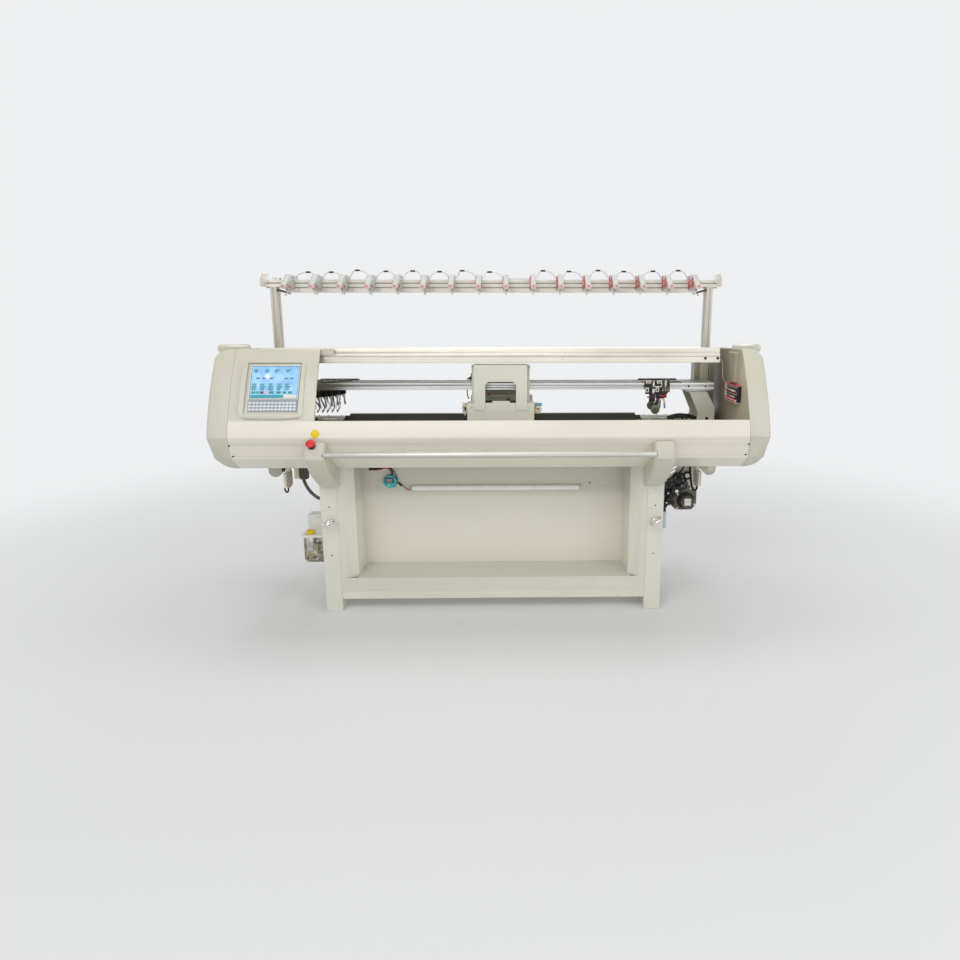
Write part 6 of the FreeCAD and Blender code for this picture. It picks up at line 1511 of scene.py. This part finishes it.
def rear_details():
    """The rear beam's screws, and the drive motor's ribs, end cover and cable gland."""
    x, z, rear = 1056, 842, (0, 1, 0)
    back = Piece("rear_fittings", CREAM, ZINC, BLACK_PLASTIC, DARK_CAST)
    for step in range(6):
        back.ring((x, 248 + step * 13, z), rear, 44.4, 1.6, 3, 40, 8)
    back.pins((x, z, 329.5, 334, 30, 3, 1.5, 30), (x, z, 333, 337, 8, 1, 1.0, 18))
    for turn in range(4):
        angle = math.radians(45 + 90 * turn)
        back.screw((x + 22 * math.cos(angle), 333.6, z + 22 * math.sin(angle)), rear, 3.5, 1)
    back.block((x - 10, 290, 884), (x + 10, 316, 896), 2.0, 2)
    for screw_x in range(-900, 901, 450):
        back.screw((screw_x, 248.1, 1185), rear, 5.0, 2)
    back.done("rear_panel")


def cap_details():
    """The fixing discs on the moulded end caps."""
    trims = Piece("cap_fixings", ZINC, SHELL)
    for side in (-1, 1):
        for y, z in ((-250, 800), (250, 800), (-230, 1150), (230, 1150)):
            trims.washer((side * 1199.6, y, z), (side, 0, 0), 6, 1.0, 1, 24, 7.5)
    trims.done("left_end_cap")


REFINED = [
    ("front_panel", CREAM, 0.0012), ("rear_panel", SHELL, 0.0012), ("left_end_cap", SHELL, 0.003),
    ("right_end_cap", SHELL, 0.003), ("control_housing", SHELL, 0.0018), ("left_stand", STAND, 0.003),
    ("right_stand", STAND, 0.003), ("cross_rails", STAND, 0.003), ("fabric_bin", BIN, 0.001),
    ("bed_end_plates", END_PLATE, 0.002), ("guide_rails", GROUND, 0.0015), ("top_beams", BEAM, 0.0015),
    ("side_columns", COLUMN, 0.002), ("feed_posts", POST, 0.0008), ("feed_bar", FEED_BAR, 0.0012),
    ("yarn_rails", RAIL, 0.0008), ("rail_brackets", CASTING, 0.003), ("bar_brackets", SHELL, 0.002),
    ("power_units", POWER_BOX, 0.0006),
    ("carriage_front_box", CARRIAGE, 0.002), ("carriage_rear_box", CARRIAGE, 0.002),
    ("carriage_bridge", CARRIAGE, 0.002), ("carriage_cover", CARRIAGE, 0.0016),
    ("lubricator_box", WHITE_PLASTIC, 0.002), ("inner_end_panels", INNER_PANEL, 0.0012),
]
REFINISHED = [
    ("bed_base", CASTING), ("front_needle_bed", BED), ("rear_needle_bed", BED), ("screen", SCREEN),
    ("keypad", KEYPAD_BLUE), ("stop_button_base", BLACK_PLASTIC), ("takedown_roller", RUBBER),
    ("takedown_motor", DARK_CAST), ("takedown_pulley", BLACK_OXIDE), ("eye_bolts", CHROME),
    ("drive_belt", RUBBER), ("drive_pulley", ZINC), ("idler_pulley", ZINC), ("drive_motor", DARK_CAST),
]

for node_name, node_finish, node_edge in REFINED:
    refined(node_name, node_finish, node_edge)
for node_name, node_finish in REFINISHED:
    refinished(node_name, node_finish)

screen_bezel()
screen_marks()
keypad_keys()
rim_bow()
panel_marks()
operating_bar()
stop_button()
needle_ribs("front_needle_walls", (-110, 814), (-3, 921), 1, "front_needle_bed", 24)
needle_ribs("rear_needle_walls", (110, 814), (3, 921), -1, "rear_needle_bed", 3)
carriage_brushes()
carriage_trim()
carriage_wire()
for carrier_number in range(1, 9):
    yarn_carrier(carrier_number)
rail_fittings()
beam_fittings()
column_panels()
terminal_rows()
end_tubes()
tension_units()
feed_fittings()
lamp_strip()
lamp_driver()
bin_marks()
stand_feet()
takedown_plates()
takedown_details()
leg_plate()
power_details()
under_boxes()
oil_tank()
oil_cap()
oil_trim()
bed_end_details()
rear_louvres("rear_louvres_left", 520)
rear_louvres("rear_louvres_right", -520)
rear_details()
cap_details()


# ---------------------------------------------------------------- stage and light
PALE = (0.86, 0.87, 0.88, 1.0)
BACKDROP = [(0.0, PALE), (0.40, PALE), (0.50, (0.34, 0.35, 0.36, 1)), (0.72, (0.42, 0.43, 0.44, 1)),
            (0.86, (0.95, 0.95, 0.94, 1)), (1.0, (0.9, 0.9, 0.89, 1))]
SKY_POWER = 0.42
FLOOR_HALF = 60.0
FADE_FROM, FADE_TO = 1.2, 4.5


def laid(tree, kind, settings=(), **sockets):
    """A node in a tree, with its settings and its sockets' values or links."""
    made = tree.nodes.new(kind)
    for key, value in dict(settings).items():
        setattr(made, key, value)
    for key, value in sockets.items():
        socket = made.inputs[int(key[1:])] if key[1:].isdigit() else made.inputs[key.replace("_", " ")]
        if isinstance(value, bpy.types.NodeSocket):
            tree.links.new(value, socket)
        else:
            socket.default_value = value
    return made


def seen_directly(tree):
    """1 where the camera sees the surface itself, or sees it in metal or through glass."""
    rays = laid(tree, "ShaderNodeLightPath").outputs
    largest = {"operation": "MAXIMUM"}
    both = laid(tree, "ShaderNodeMath", largest, _0=rays["Is Camera Ray"], _1=rays["Is Glossy Ray"])
    every = laid(tree, "ShaderNodeMath", largest, _0=both.outputs[0], _1=rays["Is Transmission Ray"])
    return every.outputs[0]


def mixed(tree, share, first, second):
    return laid(tree, "ShaderNodeMixShader", Fac=share, _1=first, _2=second).outputs[0]


def world_light():
    """Even sky light; the pale backdrop is seen low down, with a darker band above it for the metals."""
    world = bpy.data.worlds.new("studio")
    bpy.context.scene.world = world
    world.use_nodes = True
    tree = world.node_tree
    tree.nodes.clear()
    sky = laid(tree, "ShaderNodeBackground", Color=(1.0, 0.99, 0.97, 1.0), Strength=SKY_POWER)
    parts = laid(tree, "ShaderNodeSeparateXYZ", _0=laid(tree, "ShaderNodeTexCoord").outputs["Generated"])
    band = laid(tree, "ShaderNodeValToRGB", Fac=parts.outputs["Z"])
    for index, (at, colour) in enumerate(BACKDROP):
        spot = band.color_ramp.elements[index] if index < 2 else band.color_ramp.elements.new(at)
        spot.position = at
        spot.color = colour
    backdrop = laid(tree, "ShaderNodeBackground", Color=band.outputs["Color"])
    both = mixed(tree, seen_directly(tree), sky.outputs[0], backdrop.outputs[0])
    laid(tree, "ShaderNodeOutputWorld", Surface=both)


def floor():
    """A plain pale floor that keeps the machine's shadow and melts into the backdrop."""
    sheet = bmesh.new()
    bmesh.ops.create_grid(sheet, x_segments=1, y_segments=1, size=FLOOR_HALF)
    mesh = bpy.data.meshes.new("floor")
    sheet.to_mesh(mesh)
    sheet.free()
    made = bpy.data.objects.new("floor", mesh)
    bpy.context.scene.collection.objects.link(made)
    material = bpy.data.materials.new("pale_floor")
    material.use_nodes = True
    tree = material.node_tree
    shader = tree.nodes["Principled BSDF"]
    shader.inputs["Base Color"].default_value = (0.80, 0.81, 0.82, 1.0)
    shader.inputs["Roughness"].default_value = 0.9
    shader.inputs["Specular IOR Level"].default_value = 0.1
    glow = laid(tree, "ShaderNodeEmission", Color=PALE)
    reach = laid(tree, "ShaderNodeVectorMath", {"operation": "LENGTH"},
                 _0=laid(tree, "ShaderNodeTexCoord").outputs["Object"])
    fade = laid(tree, "ShaderNodeMapRange", {"interpolation_type": "SMOOTHSTEP"},
                Value=reach.outputs["Value"], From_Min=FADE_FROM, From_Max=FADE_TO)
    share = laid(tree, "ShaderNodeMath", {"operation": "MULTIPLY"}, _0=fade.outputs["Result"],
                 _1=seen_directly(tree))
    both = mixed(tree, share.outputs[0], shader.outputs[0], glow.outputs[0])
    tree.links.new(both, tree.nodes["Material Output"].inputs["Surface"])
    mesh.materials.append(material)


def soft_box(name, at, towards, size, power):
    lamp_data = bpy.data.lights.new(name, "AREA")
    lamp_data.shape = "RECTANGLE"
    lamp_data.size, lamp_data.size_y = size
    lamp_data.energy = power
    made = bpy.data.objects.new(name, lamp_data)
    made.location = at
    made.rotation_euler = (Vector(towards) - Vector(at)).to_track_quat("-Z", "Y").to_euler()
    bpy.context.scene.collection.objects.link(made)


def lights():
    """Soft light from the front left, a weaker fill, and light from above, behind and low down."""
    for name, at, towards, size, power in (
            ("key", (-1.6, -4.6, 4.4), (0, 0, 0.9), (3.6, 2.4), 110),
            ("fill", (3.8, -3.4, 2.8), (0, 0, 0.8), (2.6, 2.6), 46),
            ("top", (0, 0.6, 4.8), (0, 0, 0.9), (4.0, 2.0), 52),
            ("back", (0.5, 4.4, 3.2), (0, 0, 0.9), (3.4, 2.2), 50),
            ("low", (0.4, -4.4, 0.5), (0, -0.2, 0.8), (4.2, 0.9), 12)):
        soft_box(name, at, towards, size, power)


world_light()
floor()
lights()
bpy.context.scene.view_settings.view_transform = "Standard"
